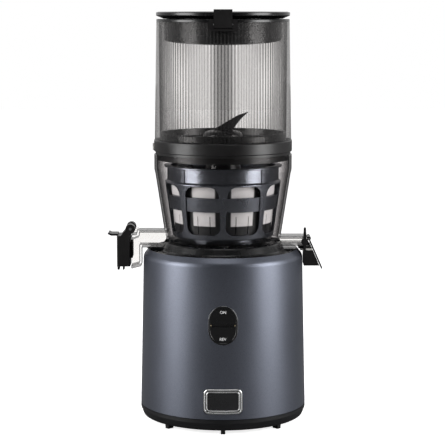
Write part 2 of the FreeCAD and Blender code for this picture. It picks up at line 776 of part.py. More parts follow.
def make_button_guide():
    """The black sleeve behind the bezel, with a bar between the two buttons."""
    back = -guide_back()
    outer_w = CONTROL_HALF_WIDTH - FIT
    outer_h = CONTROL_HALF_HEIGHT - FIT
    inner_w = CONTROL_HALF_WIDTH - GUIDE_WALL
    inner_h = CONTROL_HALF_HEIGHT - GUIDE_WALL
    sleeve = capsule(outer_w, outer_h, CONTROL_Z, -SHELL_FOOT_R, back)
    bar = box(-inner_w, inner_w, -SHELL_FOOT_R, back, CONTROL_Z - GUIDE_BAR / 2, CONTROL_Z + GUIDE_BAR / 2)
    sleeve = sleeve.cut(capsule(inner_w, inner_h, CONTROL_Z, -SHELL_FOOT_R - 1, back + 1))
    z0 = CONTROL_Z - BEZEL_HALF_HEIGHT - 3
    z1 = CONTROL_Z + BEZEL_HALF_HEIGHT + 3
    guide = fused([sleeve, bar]).common(skin(0, SHELL_FOOT_R * 0.5, z0, z1))
    flange = capsule(outer_w + 3, outer_h + 3, CONTROL_Z, -SHELL_FOOT_R, back)
    flange = flange.cut(capsule(inner_w, inner_h, CONTROL_Z, -SHELL_FOOT_R - 1, back + 1))
    flange = flange.common(skin(-SHELL_WALL - SEAT, SHELL_WALL + SEAT + 2, z0 - 3, z1 + 3))
    guide = fused([guide, flange])
    lamps = [rod(LAMP_R + FIT, (s * LAMP_X, -SHELL_FOOT_R, CONTROL_Z), (s * LAMP_X, back, CONTROL_Z)) for s in (-1, 1)]
    return guide.cut(lamps)


def make_indicator_lights():
    lamps = []
    for side in (-1, 1):
        lamp = rod(LAMP_R, (side * LAMP_X, -SHELL_FOOT_R, CONTROL_Z), (side * LAMP_X, -guide_back(), CONTROL_Z))
        lamps.append(lamp.common(skin(LAMP_PROUD, SHELL_FOOT_R / 2, CONTROL_Z - 5, CONTROL_Z + 5)))
    return Part.makeCompound(lamps)


def make_button(side):
    """One half of the pill: side is 1 for the upper button and -1 for the lower one."""
    half_w = CONTROL_HALF_WIDTH - GUIDE_WALL - BUTTON_GAP
    half_h = CONTROL_HALF_HEIGHT - GUIDE_WALL - BUTTON_GAP
    deep = -SHELL_FOOT_R - 5
    pill = capsule(half_w, half_h, CONTROL_Z, deep, 0)
    split = GUIDE_BAR / 2 + BUTTON_GAP
    z0 = CONTROL_Z + split if side > 0 else CONTROL_Z - half_h - 1
    z1 = CONTROL_Z + half_h + 1 if side > 0 else CONTROL_Z - split
    half = pill.common(box(-half_w - 1, half_w + 1, deep, 0, z0, z1))
    cap = half.common(skin(BUTTON_PROUD, BUTTON_THICK, z0 - 2, z1 + 2))
    stem_z = CONTROL_Z + side * BUTTON_STEM_Z
    stem_front = -(wall_radius(CONTROL_Z) - BUTTON_THICK + 1)
    stem = rod(BUTTON_STEM_R, (0, stem_front, stem_z), (0, -SWITCH_FRONT_R - BUTTON_TRAVEL - SEAT, stem_z))
    return fused([cap, stem])


def coil(coil_r, wire_r, length, turns):
    """An open coil spring along +Z from the origin, measured to the outside of its end turns."""
    rise = length - 2 * wire_r
    path = Part.makeHelix(rise / turns, rise, coil_r)
    corners = [math.radians(360 * i / WIRE_SIDES) for i in range(WIRE_SIDES + 1)]
    section = Part.makePolygon([vec(coil_r + wire_r * math.cos(t), 0, wire_r * math.sin(t)) for t in corners])
    spring = Part.Wire(path).makePipeShell([section], True, True)
    spring.translate(vec(0, 0, wire_r))
    return spring


def make_button_spring(side):
    """The return spring between a button's back and the switch board."""
    back = -(wall_radius(CONTROL_Z) - BUTTON_THICK) + SEAT
    spring = coil(BUTTON_SPRING_R, BUTTON_SPRING_WIRE, -guide_back() - back, BUTTON_SPRING_TURNS)
    spring = turned(spring, -90, axis=(1, 0, 0))
    spring.translate(vec(0, back, CONTROL_Z + side * BUTTON_STEM_Z))
    return spring


def make_switch_board():
    half_w = CONTROL_HALF_WIDTH + 1
    half_h = CONTROL_HALF_HEIGHT + 1
    front = -guide_back() + SEAT / 2
    board = box(-half_w, half_w, front, front + 1.6, CONTROL_Z - half_h, CONTROL_Z + half_h)
    parts = [board]
    for side in (-1, 1):
        z = CONTROL_Z + side * BUTTON_STEM_Z
        parts.append(box(-2.2, 2.2, -SWITCH_FRONT_R, front + 0.5, z - 2.2, z + 2.2))
    return fused(parts)


# Motor and gear train


def make_motor_can():
    """The cup that holds the stator, with the lower bearing's seat in its floor."""
    inner = MOTOR_CAN_R - MOTOR_CAN_WALL
    floor_top = MOTOR_BOTTOM_Z + MOTOR_CAN_WALL
    seat_r = BEARING_R + FIT
    seat_top = floor_top + BEARING_HEIGHT
    outline = [
        (MOTOR_SHAFT_R + 1, MOTOR_BOTTOM_Z),
        (MOTOR_CAN_R, MOTOR_BOTTOM_Z, 3.0),
        (MOTOR_CAN_R, MOTOR_TOP_Z),
        (inner, MOTOR_TOP_Z),
        (inner, floor_top, 1.5),
        (seat_r + 2, floor_top),
        (seat_r + 2, seat_top),
        (seat_r, seat_top),
        (seat_r, floor_top),
        (MOTOR_SHAFT_R + 1, floor_top),
    ]
    can = lathe(outline)
    half = MOTOR_VENT_WIDTH / 2
    vent = box(MOTOR_VENT_R, inner - 4, -half, half, MOTOR_BOTTOM_Z - 1, floor_top + 1)
    return can.cut(around(vent, MOTOR_VENT_COUNT))


def make_motor_bearings():
    """The lower one sits in the can's floor and the upper one in the bracket's hub."""
    rings = []
    for z in (MOTOR_BOTTOM_Z + MOTOR_CAN_WALL, UPPER_BEARING_Z):
        rings.append(tube(BEARING_R, MOTOR_SHAFT_R + FIT, z, z + BEARING_HEIGHT))
    return Part.makeCompound(rings)


def make_stator():
    """Ring of laminations pressed into the can."""
    outer = MOTOR_CAN_R - MOTOR_CAN_WALL - FIT
    return tube(outer, STATOR_R_IN, STATOR_BOTTOM_Z, STATOR_TOP_Z)


def make_windings():
    """The coil heads that stand out of the stator at both ends."""
    outer = MOTOR_CAN_R - MOTOR_CAN_WALL - WINDING_MARGIN
    inner = STATOR_R_IN + WINDING_MARGIN
    low = lathe([
        (inner, STATOR_BOTTOM_Z - WINDING_HEIGHT, 3.0),
        (outer, STATOR_BOTTOM_Z - WINDING_HEIGHT, 3.0),
        (outer, STATOR_BOTTOM_Z),
        (inner, STATOR_BOTTOM_Z),
    ])
    high = lathe([
        (inner, STATOR_TOP_Z),
        (outer, STATOR_TOP_Z),
        (outer, STATOR_TOP_Z + WINDING_HEIGHT, 3.0),
        (inner, STATOR_TOP_Z + WINDING_HEIGHT, 3.0),
    ])
    return Part.makeCompound([low, high])


def make_rotor():
    return tube(ROTOR_R, MOTOR_SHAFT_R + FIT, ROTOR_BOTTOM_Z, ROTOR_TOP_Z)


def make_fan():
    hub_top = FAN_BOTTOM_Z + FAN_HEIGHT
    hub = disc(FAN_HUB_R, FAN_BOTTOM_Z, hub_top)
    plate = disc(FAN_R, hub_top - FAN_BLADE, hub_top)
    half = FAN_BLADE / 2
    blade = box(FAN_HUB_R - 1, FAN_R, -half, half, FAN_BOTTOM_Z, hub_top - FAN_BLADE / 2)
    fan = fused([hub, plate] + around(blade, FAN_BLADE_COUNT))
    return fan.cut(disc(MOTOR_SHAFT_R + FIT, FAN_BOTTOM_Z - 1, hub_top + 1))


def make_motor_bracket():
    """Spider that hangs the motor and gearbox on the shell's ledges."""
    top = BRACKET_Z + BRACKET_THICK
    plate = disc(BRACKET_PLATE_R, BRACKET_Z, top)
    half_arm = BRACKET_ARM_WIDTH / 2
    arm = box(MOTOR_CAN_R, bracket_reach(), -half_arm, half_arm, BRACKET_Z, top)
    arm = arm.common(disc(bracket_reach(), BRACKET_Z, top))
    seat_r = BEARING_R + FIT
    hub = disc(seat_r + 2, UPPER_BEARING_Z, BRACKET_Z + 0.5)
    spigot = tube(MOTOR_CAN_R - MOTOR_CAN_WALL - FIT, MOTOR_CAN_R - MOTOR_CAN_WALL - 3, BRACKET_Z - 3, BRACKET_Z + 0.5)
    bracket = fused([plate, hub, spigot] + around(arm, BRACKET_ARM_COUNT, 45))
    pocket = disc(seat_r, UPPER_BEARING_Z - 1, UPPER_BEARING_Z + BEARING_HEIGHT)
    bore = disc(MOTOR_SHAFT_R + 0.5, BRACKET_Z - 20, top + 1)
    holes = []
    for x, y in gearbox_screw_places():
        holes.append(disc(GEARBOX_SCREW_R + FIT, BRACKET_Z - 1, top + 1, x, y))
    return bracket.cut([pocket, bore] + holes)


def gear_flank(teeth, module, turn_sign):
    """Points up one involute flank, from the root circle to the tip circle."""
    pitch_r = teeth * module / 2
    base_r = pitch_r * math.cos(PRESSURE_ANGLE)
    tip_r = pitch_r + TOOTH_ADDENDUM * module
    root_r = pitch_r - TOOTH_DEDENDUM * module
    roll_at_pitch = math.tan(PRESSURE_ANGLE) - PRESSURE_ANGLE
    half_tooth = (math.pi * module / 2 - BACKLASH) / (2 * pitch_r)
    points = []
    for step in range(FLANK_STEPS + 1):
        r = root_r + (tip_r - root_r) * step / FLANK_STEPS
        angle_here = math.acos(min(1.0, base_r / r))
        roll = math.tan(angle_here) - angle_here
        turn = turn_sign * (half_tooth + roll_at_pitch - roll)
        points.append((r, turn))
    return points


def spur_gear(teeth, module, z0, z1, first_tooth):
    """A gear on the Z axis with one tooth centred at the angle first_tooth, in radians."""
    corners = []
    for tooth in range(teeth):
        centre = first_tooth + 2 * math.pi * tooth / teeth
        rising = gear_flank(teeth, module, -1)
        falling = gear_flank(teeth, module, 1)
        for r, turn in rising + falling[::-1]:
            corners.append((r * math.cos(centre + turn), r * math.sin(centre + turn)))
    return prism_z(corners, z0, z1)


def make_motor_shaft():
    """Shaft with the first pinion cut on its upper end, one tooth towards the compound gear."""
    shaft = disc(MOTOR_SHAFT_R, MOTOR_SHAFT_BOTTOM_Z, FIRST_STAGE_Z)
    module = FIRST_MODULE
    pinion = spur_gear(FIRST_PINION_TEETH, module, FIRST_STAGE_Z, FIRST_STAGE_Z + FIRST_STAGE_HEIGHT, math.pi / 2)
    return fused([shaft, pinion])


def make_compound_gear():
    """The wheel of the first stage and the pinion of the second on one hub."""
    gap = math.pi / FIRST_WHEEL_TEETH
    wheel_top = FIRST_STAGE_Z + FIRST_STAGE_HEIGHT
    wheel = spur_gear(FIRST_WHEEL_TEETH, FIRST_MODULE, FIRST_STAGE_Z, wheel_top, -math.pi / 2 + gap)
    top = SECOND_STAGE_Z + SECOND_STAGE_HEIGHT
    pinion = spur_gear(SECOND_PINION_TEETH, SECOND_MODULE, wheel_top - 0.5, top, -math.pi / 2)
    gear = fused([wheel, pinion]).cut(disc(IDLER_PIN_R + FIT, FIRST_STAGE_Z - 1, top + 1))
    gear.translate(vec(0, GEAR_CENTRE, 0))
    return gear


def make_output_gear():
    gap = math.pi / SECOND_WHEEL_TEETH
    top = SECOND_STAGE_Z + SECOND_STAGE_HEIGHT
    gear = spur_gear(SECOND_WHEEL_TEETH, SECOND_MODULE, SECOND_STAGE_Z, top, math.pi / 2 + gap)
    dish = tube(SECOND_DISH_R, DRIVE_SHAFT_R + 5, top - SECOND_STAGE_HEIGHT / 2, top + 1)
    return gear.cut([disc(DRIVE_SHAFT_R + FIT, SECOND_STAGE_Z - 1, top + 1), dish])


def gearbox_outline(margin):
    """Plan of the gearbox: a slot shape around the two gear centres."""
    half = GEARBOX_HALF_WIDTH + margin
    corner = half * 0.999
    return [(-half, -half, corner), (half, -half, corner), (half, GEAR_CENTRE + half, corner), (-half, GEAR_CENTRE + half, corner)]


def gearbox_screw_places():
    """Two screws on each side, on the straight part of the gearbox."""
    x = GEARBOX_SCREW_X
    y0 = GEARBOX_SCREW_Y
    y1 = GEAR_CENTRE - GEARBOX_SCREW_Y
    return [(-x, y0), (x, y0), (-x, y1), (x, y1)]


def make_gearbox_base():
    """Floor of the gearbox, with the post that the compound gear turns on."""
    top = GEARBOX_FLOOR_Z + GEARBOX_FLOOR
    plate = prism_z(gearbox_outline(0), GEARBOX_FLOOR_Z, top)
    ears = [disc(GEARBOX_EAR_R, GEARBOX_FLOOR_Z, top, x, y) for x, y in gearbox_screw_places()]
    post = disc(IDLER_PIN_R, GEARBOX_FLOOR_Z + 1, GEARBOX_ROOF_Z + GEARBOX_ROOF - 1, 0, GEAR_CENTRE)
    plate = fused([plate, post] + ears)
    cuts = [disc(MOTOR_SHAFT_R + 0.5, GEARBOX_FLOOR_Z - 1, top + 1)]
    for x, y in gearbox_screw_places():
        cuts.append(disc(GEARBOX_SCREW_R + FIT, GEARBOX_FLOOR_Z - 1, top + 1, x, y))
    return plate.cut(cuts)


def make_gearbox_case():
    bottom = GEARBOX_FLOOR_Z + GEARBOX_FLOOR
    top = GEARBOX_ROOF_Z + GEARBOX_ROOF
    case = prism_z(gearbox_outline(0), bottom, top)
    room = prism_z(gearbox_outline(-GEARBOX_WALL), bottom - 1, GEARBOX_ROOF_Z)
    ears = [disc(GEARBOX_EAR_R, bottom, bottom + GEARBOX_EAR_HEIGHT, x, y) for x, y in gearbox_screw_places()]
    tower = disc(SHAFT_BEARING_R + 3, GEARBOX_ROOF_Z, top + SHAFT_BEARING_HEIGHT)
    case = fused([case, tower] + ears).cut(room)
    cuts = [disc(DRIVE_SHAFT_R + 0.6, GEARBOX_ROOF_Z - 1, top + SHAFT_BEARING_HEIGHT + 1)]
    cuts.append(disc(SHAFT_BEARING_R + FIT, top, top + SHAFT_BEARING_HEIGHT + 1))
    cuts.append(disc(IDLER_PIN_R + FIT, GEARBOX_ROOF_Z - 1, top - 1, 0, GEAR_CENTRE))
    for x, y in gearbox_screw_places():
        cuts.append(disc(GEARBOX_SCREW_R + FIT, bottom - 1, bottom + GEARBOX_EAR_HEIGHT + 1, x, y))
    return case.cut(cuts)


def make_gearbox_screws():
    """Heads up on the case's ears, shanks down through the base into the bracket."""
    seat = GEARBOX_FLOOR_Z + GEARBOX_FLOOR + GEARBOX_EAR_HEIGHT
    length = seat - BRACKET_Z - SEAT
    spots = [(x, -y) for x, y in gearbox_screw_places()]
    screws = make_screws(GEARBOX_SCREW_R, GEARBOX_SCREW_R * 2, GEARBOX_SCREW_HEAD, 0, length, spots)
    screws = turned(screws, 180, axis=(1, 0, 0))
    screws.translate(vec(0, 0, seat))
    return screws


def make_shaft_bearing():
    bottom = GEARBOX_ROOF_Z + GEARBOX_ROOF
    return tube(SHAFT_BEARING_R, DRIVE_SHAFT_R + FIT, bottom, bottom + SHAFT_BEARING_HEIGHT)


def hexagon(across_flats, z0, z1):
    corner_r = across_flats / math.sqrt(3)
    turns = [math.radians(60 * i + 30) for i in range(6)]
    return prism_z([(corner_r * math.cos(t), corner_r * math.sin(t)) for t in turns], z0, z1)


def make_drive_shaft():
    """Round in its bearing and seal, six-sided where it turns the auger."""
    round_part = disc(DRIVE_SHAFT_R, SECOND_STAGE_Z - 0.5, DRIVE_HEX_Z)
    hex_part = hexagon(DRIVE_HEX, DRIVE_HEX_Z - 0.5, DRIVE_TOP_Z)
    tip = lathe([(0, DRIVE_HEX_Z - 1), (DRIVE_HEX, DRIVE_HEX_Z - 1), (DRIVE_HEX, DRIVE_TOP_Z - 5), (4.5, DRIVE_TOP_Z), (0, DRIVE_TOP_Z)])
    return fused([round_part, hex_part.common(tip)])


# Electrics


def make_circuit_board():
    """Control board on edge beside the motor, with its capacitor, transformer and relay blocks."""
    y0 = CIRCUIT_BOARD_Y
    half = CIRCUIT_BOARD_WIDTH / 2
    board = box(-half, half, y0, y0 + BOARD_THICK, CIRCUIT_BOARD_Z, CIRCUIT_BOARD_Z + CIRCUIT_BOARD_HEIGHT)
    blocks = []
    for x, z, width, height, depth in BOARD_BLOCKS:
        blocks.append(box(x - width / 2, x + width / 2, y0 - depth, y0 + FIT, z, z + height))
    return fused([board] + blocks)


# Bowl


def bowl_radius(z):
    return cone_radius(BOWL_LOW_R, BOWL_LOW_Z, BOWL_HIGH_R, BOWL_HIGH_Z, z)


def juice_duct_solid():
    """Outside of the juice duct: it runs out over the rim and turns down to its mouth."""
    outline = [
        (-BOWL_FOOT_R + 3, DUCT_FLOOR_Z),
        (-MOUTH_BACK_X, DUCT_FLOOR_Z),
        (-MOUTH_BACK_X, MOUTH_LOW_Z + MOUTH_RISE, 0.8),
        (-MOUTH_X, MOUTH_LOW_Z, 0.8),
        (-MOUTH_X, MOUTH_TOP_Z, 1.0),
        (-DUCT_TOP_END_X, MOUTH_TOP_Z),
        (-DUCT_TOP_END_X, JUICE_DUCT_TOP_Z, 1.5),
        (-BOWL_FOOT_R + 3, JUICE_DUCT_TOP_Z),
    ]
    return prism_y(outline, -JUICE_DUCT_HALF, JUICE_DUCT_HALF)


def juice_duct_room():
    wall = DUCT_WALL
    top = JUICE_DUCT_TOP_Z - wall
    port_low = BOWL_FLOOR_TOP_Z + 1
    outline = [
        (-BOWL_FOOT_R + 8, port_low),
        (-BOWL_FOOT_R - 0.5, port_low),
        (-BOWL_FOOT_R - 0.5, DUCT_FLOOR_Z + wall),
        (-MOUTH_BACK_X - wall, DUCT_FLOOR_Z + wall),
        (-MOUTH_BACK_X - wall, MOUTH_LOW_Z + MOUTH_RISE + wall),
        (-MOUTH_X - 8, MOUTH_LOW_Z + wall - 2 * MOUTH_RISE / 3),
        (-MOUTH_X - 8, MOUTH_TOP_Z - wall * 2),
        (-MOUTH_X + wall, MOUTH_TOP_Z - wall * 2),
        (-DUCT_TOP_END_X + wall, MOUTH_TOP_Z - wall),
        (-DUCT_TOP_END_X + wall, top),
        (-BOWL_FOOT_R + 8, top),
    ]
    return prism_y(outline, -JUICE_DUCT_HALF + wall, JUICE_DUCT_HALF - wall)


def flap_line(z):
    """X of the pulp flap's inner face at a height."""
    return cone_radius(FLAP_TOP_X, FLAP_TOP_Z, FLAP_LOW_X, FLAP_LOW_Z, z)


def pulp_duct_solid():
    low = PULP_DUCT_LOW_Z
    top = PULP_DUCT_TOP_Z
    start = PULP_PORT_X
    outline = [(start, low), (flap_line(low) - FLAP_GAP, low), (PULP_DUCT_END_X, top, 1.5), (start, top)]
    return prism_y(outline, -PULP_DUCT_HALF, PULP_DUCT_HALF)


def pulp_duct_room():
    low = PULP_DUCT_LOW_Z + DUCT_WALL
    top = PULP_DUCT_TOP_Z - DUCT_WALL
    half = PULP_DUCT_HALF - DUCT_WALL
    run = box(PULP_PORT_X + DUCT_WALL, FLAP_LOW_X, -half, half, low, top)
    drop = box(PULP_DROP_X, FLAP_LOW_X, -half, half, PULP_DUCT_LOW_Z - 1, top)
    return [run, drop]


def hinge_ear(x, z, radius, base_points, y0, y1):
    """A lug around a pin along Y, with a foot of the given outline."""
    eye = rod(radius, (x, y0, z), (x, y1, z))
    return fused([eye, prism_y(base_points, y0, y1)])


def juice_ears():
    """The two lugs on the juice duct that hold the cap's pin."""
    x = -CAP_HINGE_X
    z = CAP_HINGE_Z
    foot_x = -DUCT_TOP_END_X + 1
    points = [(x, z - CAP_EYE_R), (foot_x + 1, JUICE_DUCT_TOP_Z - 2), (foot_x + 3, JUICE_DUCT_TOP_Z - 1), (x, z + CAP_EYE_R)]
    ears = []
    for side in (-1, 1):
        y0, y1 = sorted((side * CAP_EAR_IN, side * CAP_EAR_OUT))
        ears.append(hinge_ear(x, z, CAP_EYE_R, points, y0, y1))
    return ears


def pulp_ears():
    """The two lugs on the pulp duct that hold the flap's pin."""
    x = FLAP_HINGE_X
    z = FLAP_HINGE_Z
    top = PULP_DUCT_TOP_Z
    points = [(x, z + FLAP_EYE_R), (PULP_DUCT_END_X - 4, top + 0.3), (PULP_DUCT_END_X - 4, top - 2), (x, z - FLAP_EYE_R * 0.9)]
    ears = []
    for side in (-1, 1):
        y0, y1 = sorted((side * FLAP_EAR_IN, side * FLAP_EAR_OUT))
        ears.append(hinge_ear(x, z, FLAP_EYE_R, points, y0, y1))
    return ears


def make_juice_bowl():
    wall = BOWL_WALL
    seal_r = BOWL_SEAL_R + FIT
    outline = [
        (BOWL_BOSS_R, BOWL_FLOOR_TOP_Z),
        (BOWL_BOSS_R, BOWL_BOSS_TOP_Z, 0.8),
        (seal_r, BOWL_BOSS_TOP_Z),
        (seal_r, BOWL_BOSS_TOP_Z - BOWL_SEAL_HEIGHT),
        (AUGER_NECK_R + 0.6, BOWL_BOSS_TOP_Z - BOWL_SEAL_HEIGHT),
        (AUGER_NECK_R + 0.6, BOWL_FOOT_Z),
        (BOWL_SKIRT_R - wall, BOWL_FOOT_Z),
        (BOWL_SKIRT_R - wall, BOWL_SKIRT_Z),
        (BOWL_SKIRT_R, BOWL_SKIRT_Z, 0.8),
        (BOWL_SKIRT_R, BOWL_FOOT_Z),
        (BOWL_FOOT_R, BOWL_FOOT_Z, 1.0),
        (BOWL_LOW_R, BOWL_LOW_Z, 6.0),
        (BOWL_HIGH_R, BOWL_HIGH_Z, 4.0),
        (BOWL_FLANGE_R, BOWL_HIGH_Z + BOWL_FLARE, 1.5),
        (BOWL_FLANGE_R, BOWL_TOP_Z, 0.8),
        (BOWL_FLANGE_R - wall, BOWL_TOP_Z, 0.5),
        (BOWL_FLANGE_R - wall, BOWL_HIGH_Z + BOWL_FLARE, 1.0),
        (BOWL_HIGH_R - wall, BOWL_HIGH_Z - 1, 4.0),
        (BOWL_LOW_R - wall, BOWL_LOW_Z, 6.0),
        (BOWL_LOW_R - wall - 1.0, BOWL_FLOOR_TOP_Z, 1.0),
    ]
    bowl = lathe(outline)
    keep_out = disc(bowl_radius(BOWL_FLOOR_TOP_Z) - wall, BOWL_FLOOR_TOP_Z, BOWL_TOP_Z)
    under = disc(BOWL_SKIRT_R + 0.2, 0, BOWL_FOOT_Z)
    ducts = [juice_duct_solid().cut([keep_out, under]), pulp_duct_solid().cut(keep_out)]
    bowl = fused([bowl] + ducts + juice_ears() + pulp_ears())
    for i in range(BOWL_LUG_COUNT):
        lug = box(BOWL_FLANGE_R - 1, BOWL_FLANGE_R + BOWL_LUG_PROUD, -BOWL_LUG_WIDTH / 2, BOWL_LUG_WIDTH / 2, 0, BOWL_LUG_HEIGHT)
        lug.translate(vec(0, 0, BOWL_LUG_Z))
        bowl = bowl.fuse(turned(lug, 45 + 360.0 * i / BOWL_LUG_COUNT))
    cuts = [juice_duct_room()] + pulp_duct_room()
    cuts.append(rod(CAP_PIN_R + FIT, (-CAP_HINGE_X, -PIN_CUT, CAP_HINGE_Z), (-CAP_HINGE_X, PIN_CUT, CAP_HINGE_Z)))
    cuts.append(rod(FLAP_PIN_R + FIT, (FLAP_HINGE_X, -PIN_CUT, FLAP_HINGE_Z), (FLAP_HINGE_X, PIN_CUT, FLAP_HINGE_Z)))
    cuts.append(rod(LEVER_SHAFT_R + FIT, (LEVER_X, -PIN_CUT, LEVER_Z), (LEVER_X, PULP_DUCT_HALF - 1, LEVER_Z)))
    return bowl.cut(cuts)


def make_bowl_seal():
    return tube(BOWL_SEAL_R, AUGER_NECK_R + FIT, BOWL_BOSS_TOP_Z - BOWL_SEAL_HEIGHT, BOWL_BOSS_TOP_Z)


def make_juice_cap():
    left = -CAP_LEFT_X
    right = -CAP_RIGHT_X
    block = box(left, right, -CAP_HALF, CAP_HALF, CAP_LOW_Z, CAP_TOP_Z)
    block = block.makeFillet(1.2, [e for e in block.Edges if abs(e.tangentAt(e.FirstParameter).z) > 0.9])
    room = box(left + CAP_WALL, right - CAP_WALL, -CAP_HALF + CAP_WALL, CAP_HALF - CAP_WALL, CAP_LOW_Z - 1, CAP_TOP_Z - CAP_WALL)
    cap = block.cut(room)
    lip_a = box(left, left + CAP_LIP, -CAP_LIP_HALF, CAP_LIP_HALF, CAP_LOW_Z - CAP_LIP_DROP, CAP_LOW_Z + 4)
    middle = left + CAP_LIP_SPACING
    lip_b = box(middle, middle + CAP_RIB, -CAP_HALF + 1, CAP_HALF - 1, CAP_LOW_Z, CAP_TOP_Z - 1)
    lip_c = box(middle, middle + CAP_RIB, -CAP_LIP_HALF, CAP_LIP_HALF, CAP_LOW_Z - CAP_LIP_DROP, CAP_LOW_Z + 4)
    tab_points = [
        (-CAP_TAB_X, CAP_TOP_Z + 1.6, 0.8),
        (-CAP_TAB_X + 4, CAP_TOP_Z - 0.4, 4.0),
        (left + 1, CAP_TOP_Z - 0.4),
        (left + 1, CAP_TOP_Z + CAP_TAB_THICK),
        (-CAP_TAB_X + 4, CAP_TOP_Z + CAP_TAB_THICK, 3.0),
        (-CAP_TAB_X + 1, CAP_TOP_Z + 3.4, 0.6),
    ]
    tab = prism_y(tab_points, -CAP_TAB_HALF, CAP_TAB_HALF)
    pieces = [cap, lip_a, lip_b, lip_c, tab]
    x = -CAP_HINGE_X
    z = CAP_HINGE_Z
    for side in (-1, 1):
        y0, y1 = sorted((side * (CAP_EAR_OUT + SEAT), side * CAP_HALF))
        points = [(x + CAP_EYE_R * 0.6, z), (x, z + CAP_EYE_R), (left + 4, CAP_TOP_Z - 0.5), (x - 0.8, CAP_TOP_Z - 0.5)]
        pieces.append(hinge_ear(x, z, CAP_EYE_R, points, y0, y1))
    cap = fused(pieces)
    return cap.cut(rod(CAP_PIN_R + FIT, (x, -PIN_CUT, z), (x, PIN_CUT, z)))


def make_cap_pad():
    """Soft plug on the cap's inner face that closes the spout's mouth."""
    half = JUICE_DUCT_HALF - DUCT_WALL - 0.5
    points = [(-CAP_RIGHT_X, PAD_LOW_Z), (-CAP_RIGHT_X + PAD_DEPTH, PAD_LOW_Z, 0.8)]
    points += [(-CAP_RIGHT_X + PAD_DEPTH, PAD_TOP_Z, 0.8), (-CAP_RIGHT_X, PAD_TOP_Z)]
    return prism_y(points, -half, half)


def make_spout_pins():
    """The hinge pins of the juice cap and of the pulp flap."""
    cap_pin = rod(CAP_PIN_R, (-CAP_HINGE_X, -CAP_HALF, CAP_HINGE_Z), (-CAP_HINGE_X, CAP_HALF, CAP_HINGE_Z))
    reach = FLAP_EAR_OUT
    flap_pin = rod(FLAP_PIN_R, (FLAP_HINGE_X, -reach, FLAP_HINGE_Z), (FLAP_HINGE_X, reach, FLAP_HINGE_Z))
    return Part.makeCompound([cap_pin, flap_pin])


def chute_slice(z0, z1, x0, wall):
    """A band of the pulp chute: three walls, open below and towards the flap."""
    outline = [(x0, z0), (flap_line(z0) - FLAP_GAP, z0), (flap_line(z1) - FLAP_GAP, z1), (x0, z1)]
    solid = prism_y(outline, -PULP_DUCT_HALF, PULP_DUCT_HALF)
    half = PULP_DUCT_HALF - wall
    return solid.cut(box(x0 + wall, FLAP_LOW_X + 5, -half, half, z0 - 1, z1 + 1))


def make_pulp_gasket():
    z0 = CHUTE_TOP_Z + SEAT / 3
    z1 = PULP_DUCT_LOW_Z - SEAT / 3
    outline = [(GASKET_X, z0), (flap_line(z0) - FLAP_GAP, z0), (flap_line(z1) - FLAP_GAP, z1), (GASKET_X, z1)]
    gasket = prism_y(outline, -PULP_DUCT_HALF, PULP_DUCT_HALF)
    half = PULP_DUCT_HALF - DUCT_WALL
    return gasket.cut(box(PULP_DROP_X, FLAP_LOW_X, -half, half, z0 - 1, z1 + 1))


def make_chute_trim():
    return chute_slice(CHUTE_TRIM_Z, CHUTE_TOP_Z, TRIM_X, CHUTE_WALL)


def make_pulp_chute():
    return chute_slice(CHUTE_LOW_Z, CHUTE_TRIM_Z - SEAT / 3, CHUTE_X, CHUTE_WALL)


def make_pulp_flap():
    """Sloping plate that hangs from its pin and turns the pulp down into the chute."""
    slope = math.atan2(FLAP_TOP_Z - FLAP_LOW_Z, FLAP_LOW_X - FLAP_TOP_X)
    out_x = FLAP_THICK * math.sin(slope)
    out_z = FLAP_THICK * math.cos(slope)
    outline = [(FLAP_TOP_X, FLAP_TOP_Z), (FLAP_LOW_X, FLAP_LOW_Z, 0.3)]
    outline += [(FLAP_LOW_X + out_x, FLAP_LOW_Z + out_z, 0.6), (FLAP_TOP_X + out_x, FLAP_TOP_Z + out_z)]
    plate = prism_y(outline, -PULP_DUCT_HALF, PULP_DUCT_HALF)
    half = FLAP_EAR_IN - SEAT
    barrel = rod(FLAP_EYE_R, (FLAP_HINGE_X, -half, FLAP_HINGE_Z), (FLAP_HINGE_X, half, FLAP_HINGE_Z))
    neck_points = [(FLAP_TOP_X, FLAP_TOP_Z), (FLAP_TOP_X + out_x, FLAP_TOP_Z + out_z)]
    neck_points += [(FLAP_HINGE_X + 1.2, FLAP_HINGE_Z), (FLAP_HINGE_X - 0.4, FLAP_HINGE_Z)]
    neck = prism_y(neck_points, -half, half)
    flap = fused([plate, barrel, neck])
    return flap.cut(rod(FLAP_PIN_R + FIT, (FLAP_HINGE_X, -PIN_CUT, FLAP_HINGE_Z), (FLAP_HINGE_X, PIN_CUT, FLAP_HINGE_Z)))


def make_pulp_lever():
    """Leaf handle in front of the pulp duct, on the shaft of a flat vane inside it."""
    front = -PULP_DUCT_HALF - SEAT - LEVER_THICK
    outline = [
        (LEVER_X - LEVER_HALF * 0.6, LEVER_TOP_Z, 0.8),
        (LEVER_X - LEVER_HALF, LEVER_Z, 8.0),
        (LEVER_X - LEVER_HALF * 0.3, LEVER_LOW_Z, 0.4),
        (LEVER_X + LEVER_HALF * 0.3, LEVER_LOW_Z, 0.4),
        (LEVER_X + LEVER_HALF, LEVER_Z, 8.0),
        (LEVER_X + LEVER_HALF * 0.6, LEVER_TOP_Z, 0.8),
    ]
    leaf = prism_y(outline, front, front + LEVER_THICK)
    hub = rod(LEVER_HUB_R, (LEVER_X, front, LEVER_Z), (LEVER_X, front + LEVER_THICK, LEVER_Z))
    end = PULP_DUCT_HALF - 1 - SEAT
    shaft = rod(LEVER_SHAFT_R, (LEVER_X, front + 1, LEVER_Z), (LEVER_X, end, LEVER_Z))
    half = PULP_DUCT_HALF - DUCT_WALL - SEAT
    vane = box(LEVER_X - VANE_THICK / 2, LEVER_X + VANE_THICK / 2, -half, half, LEVER_Z - VANE_HALF, LEVER_Z + VANE_HALF)
    return fused([leaf, hub, shaft, vane])


# Strainer and auger


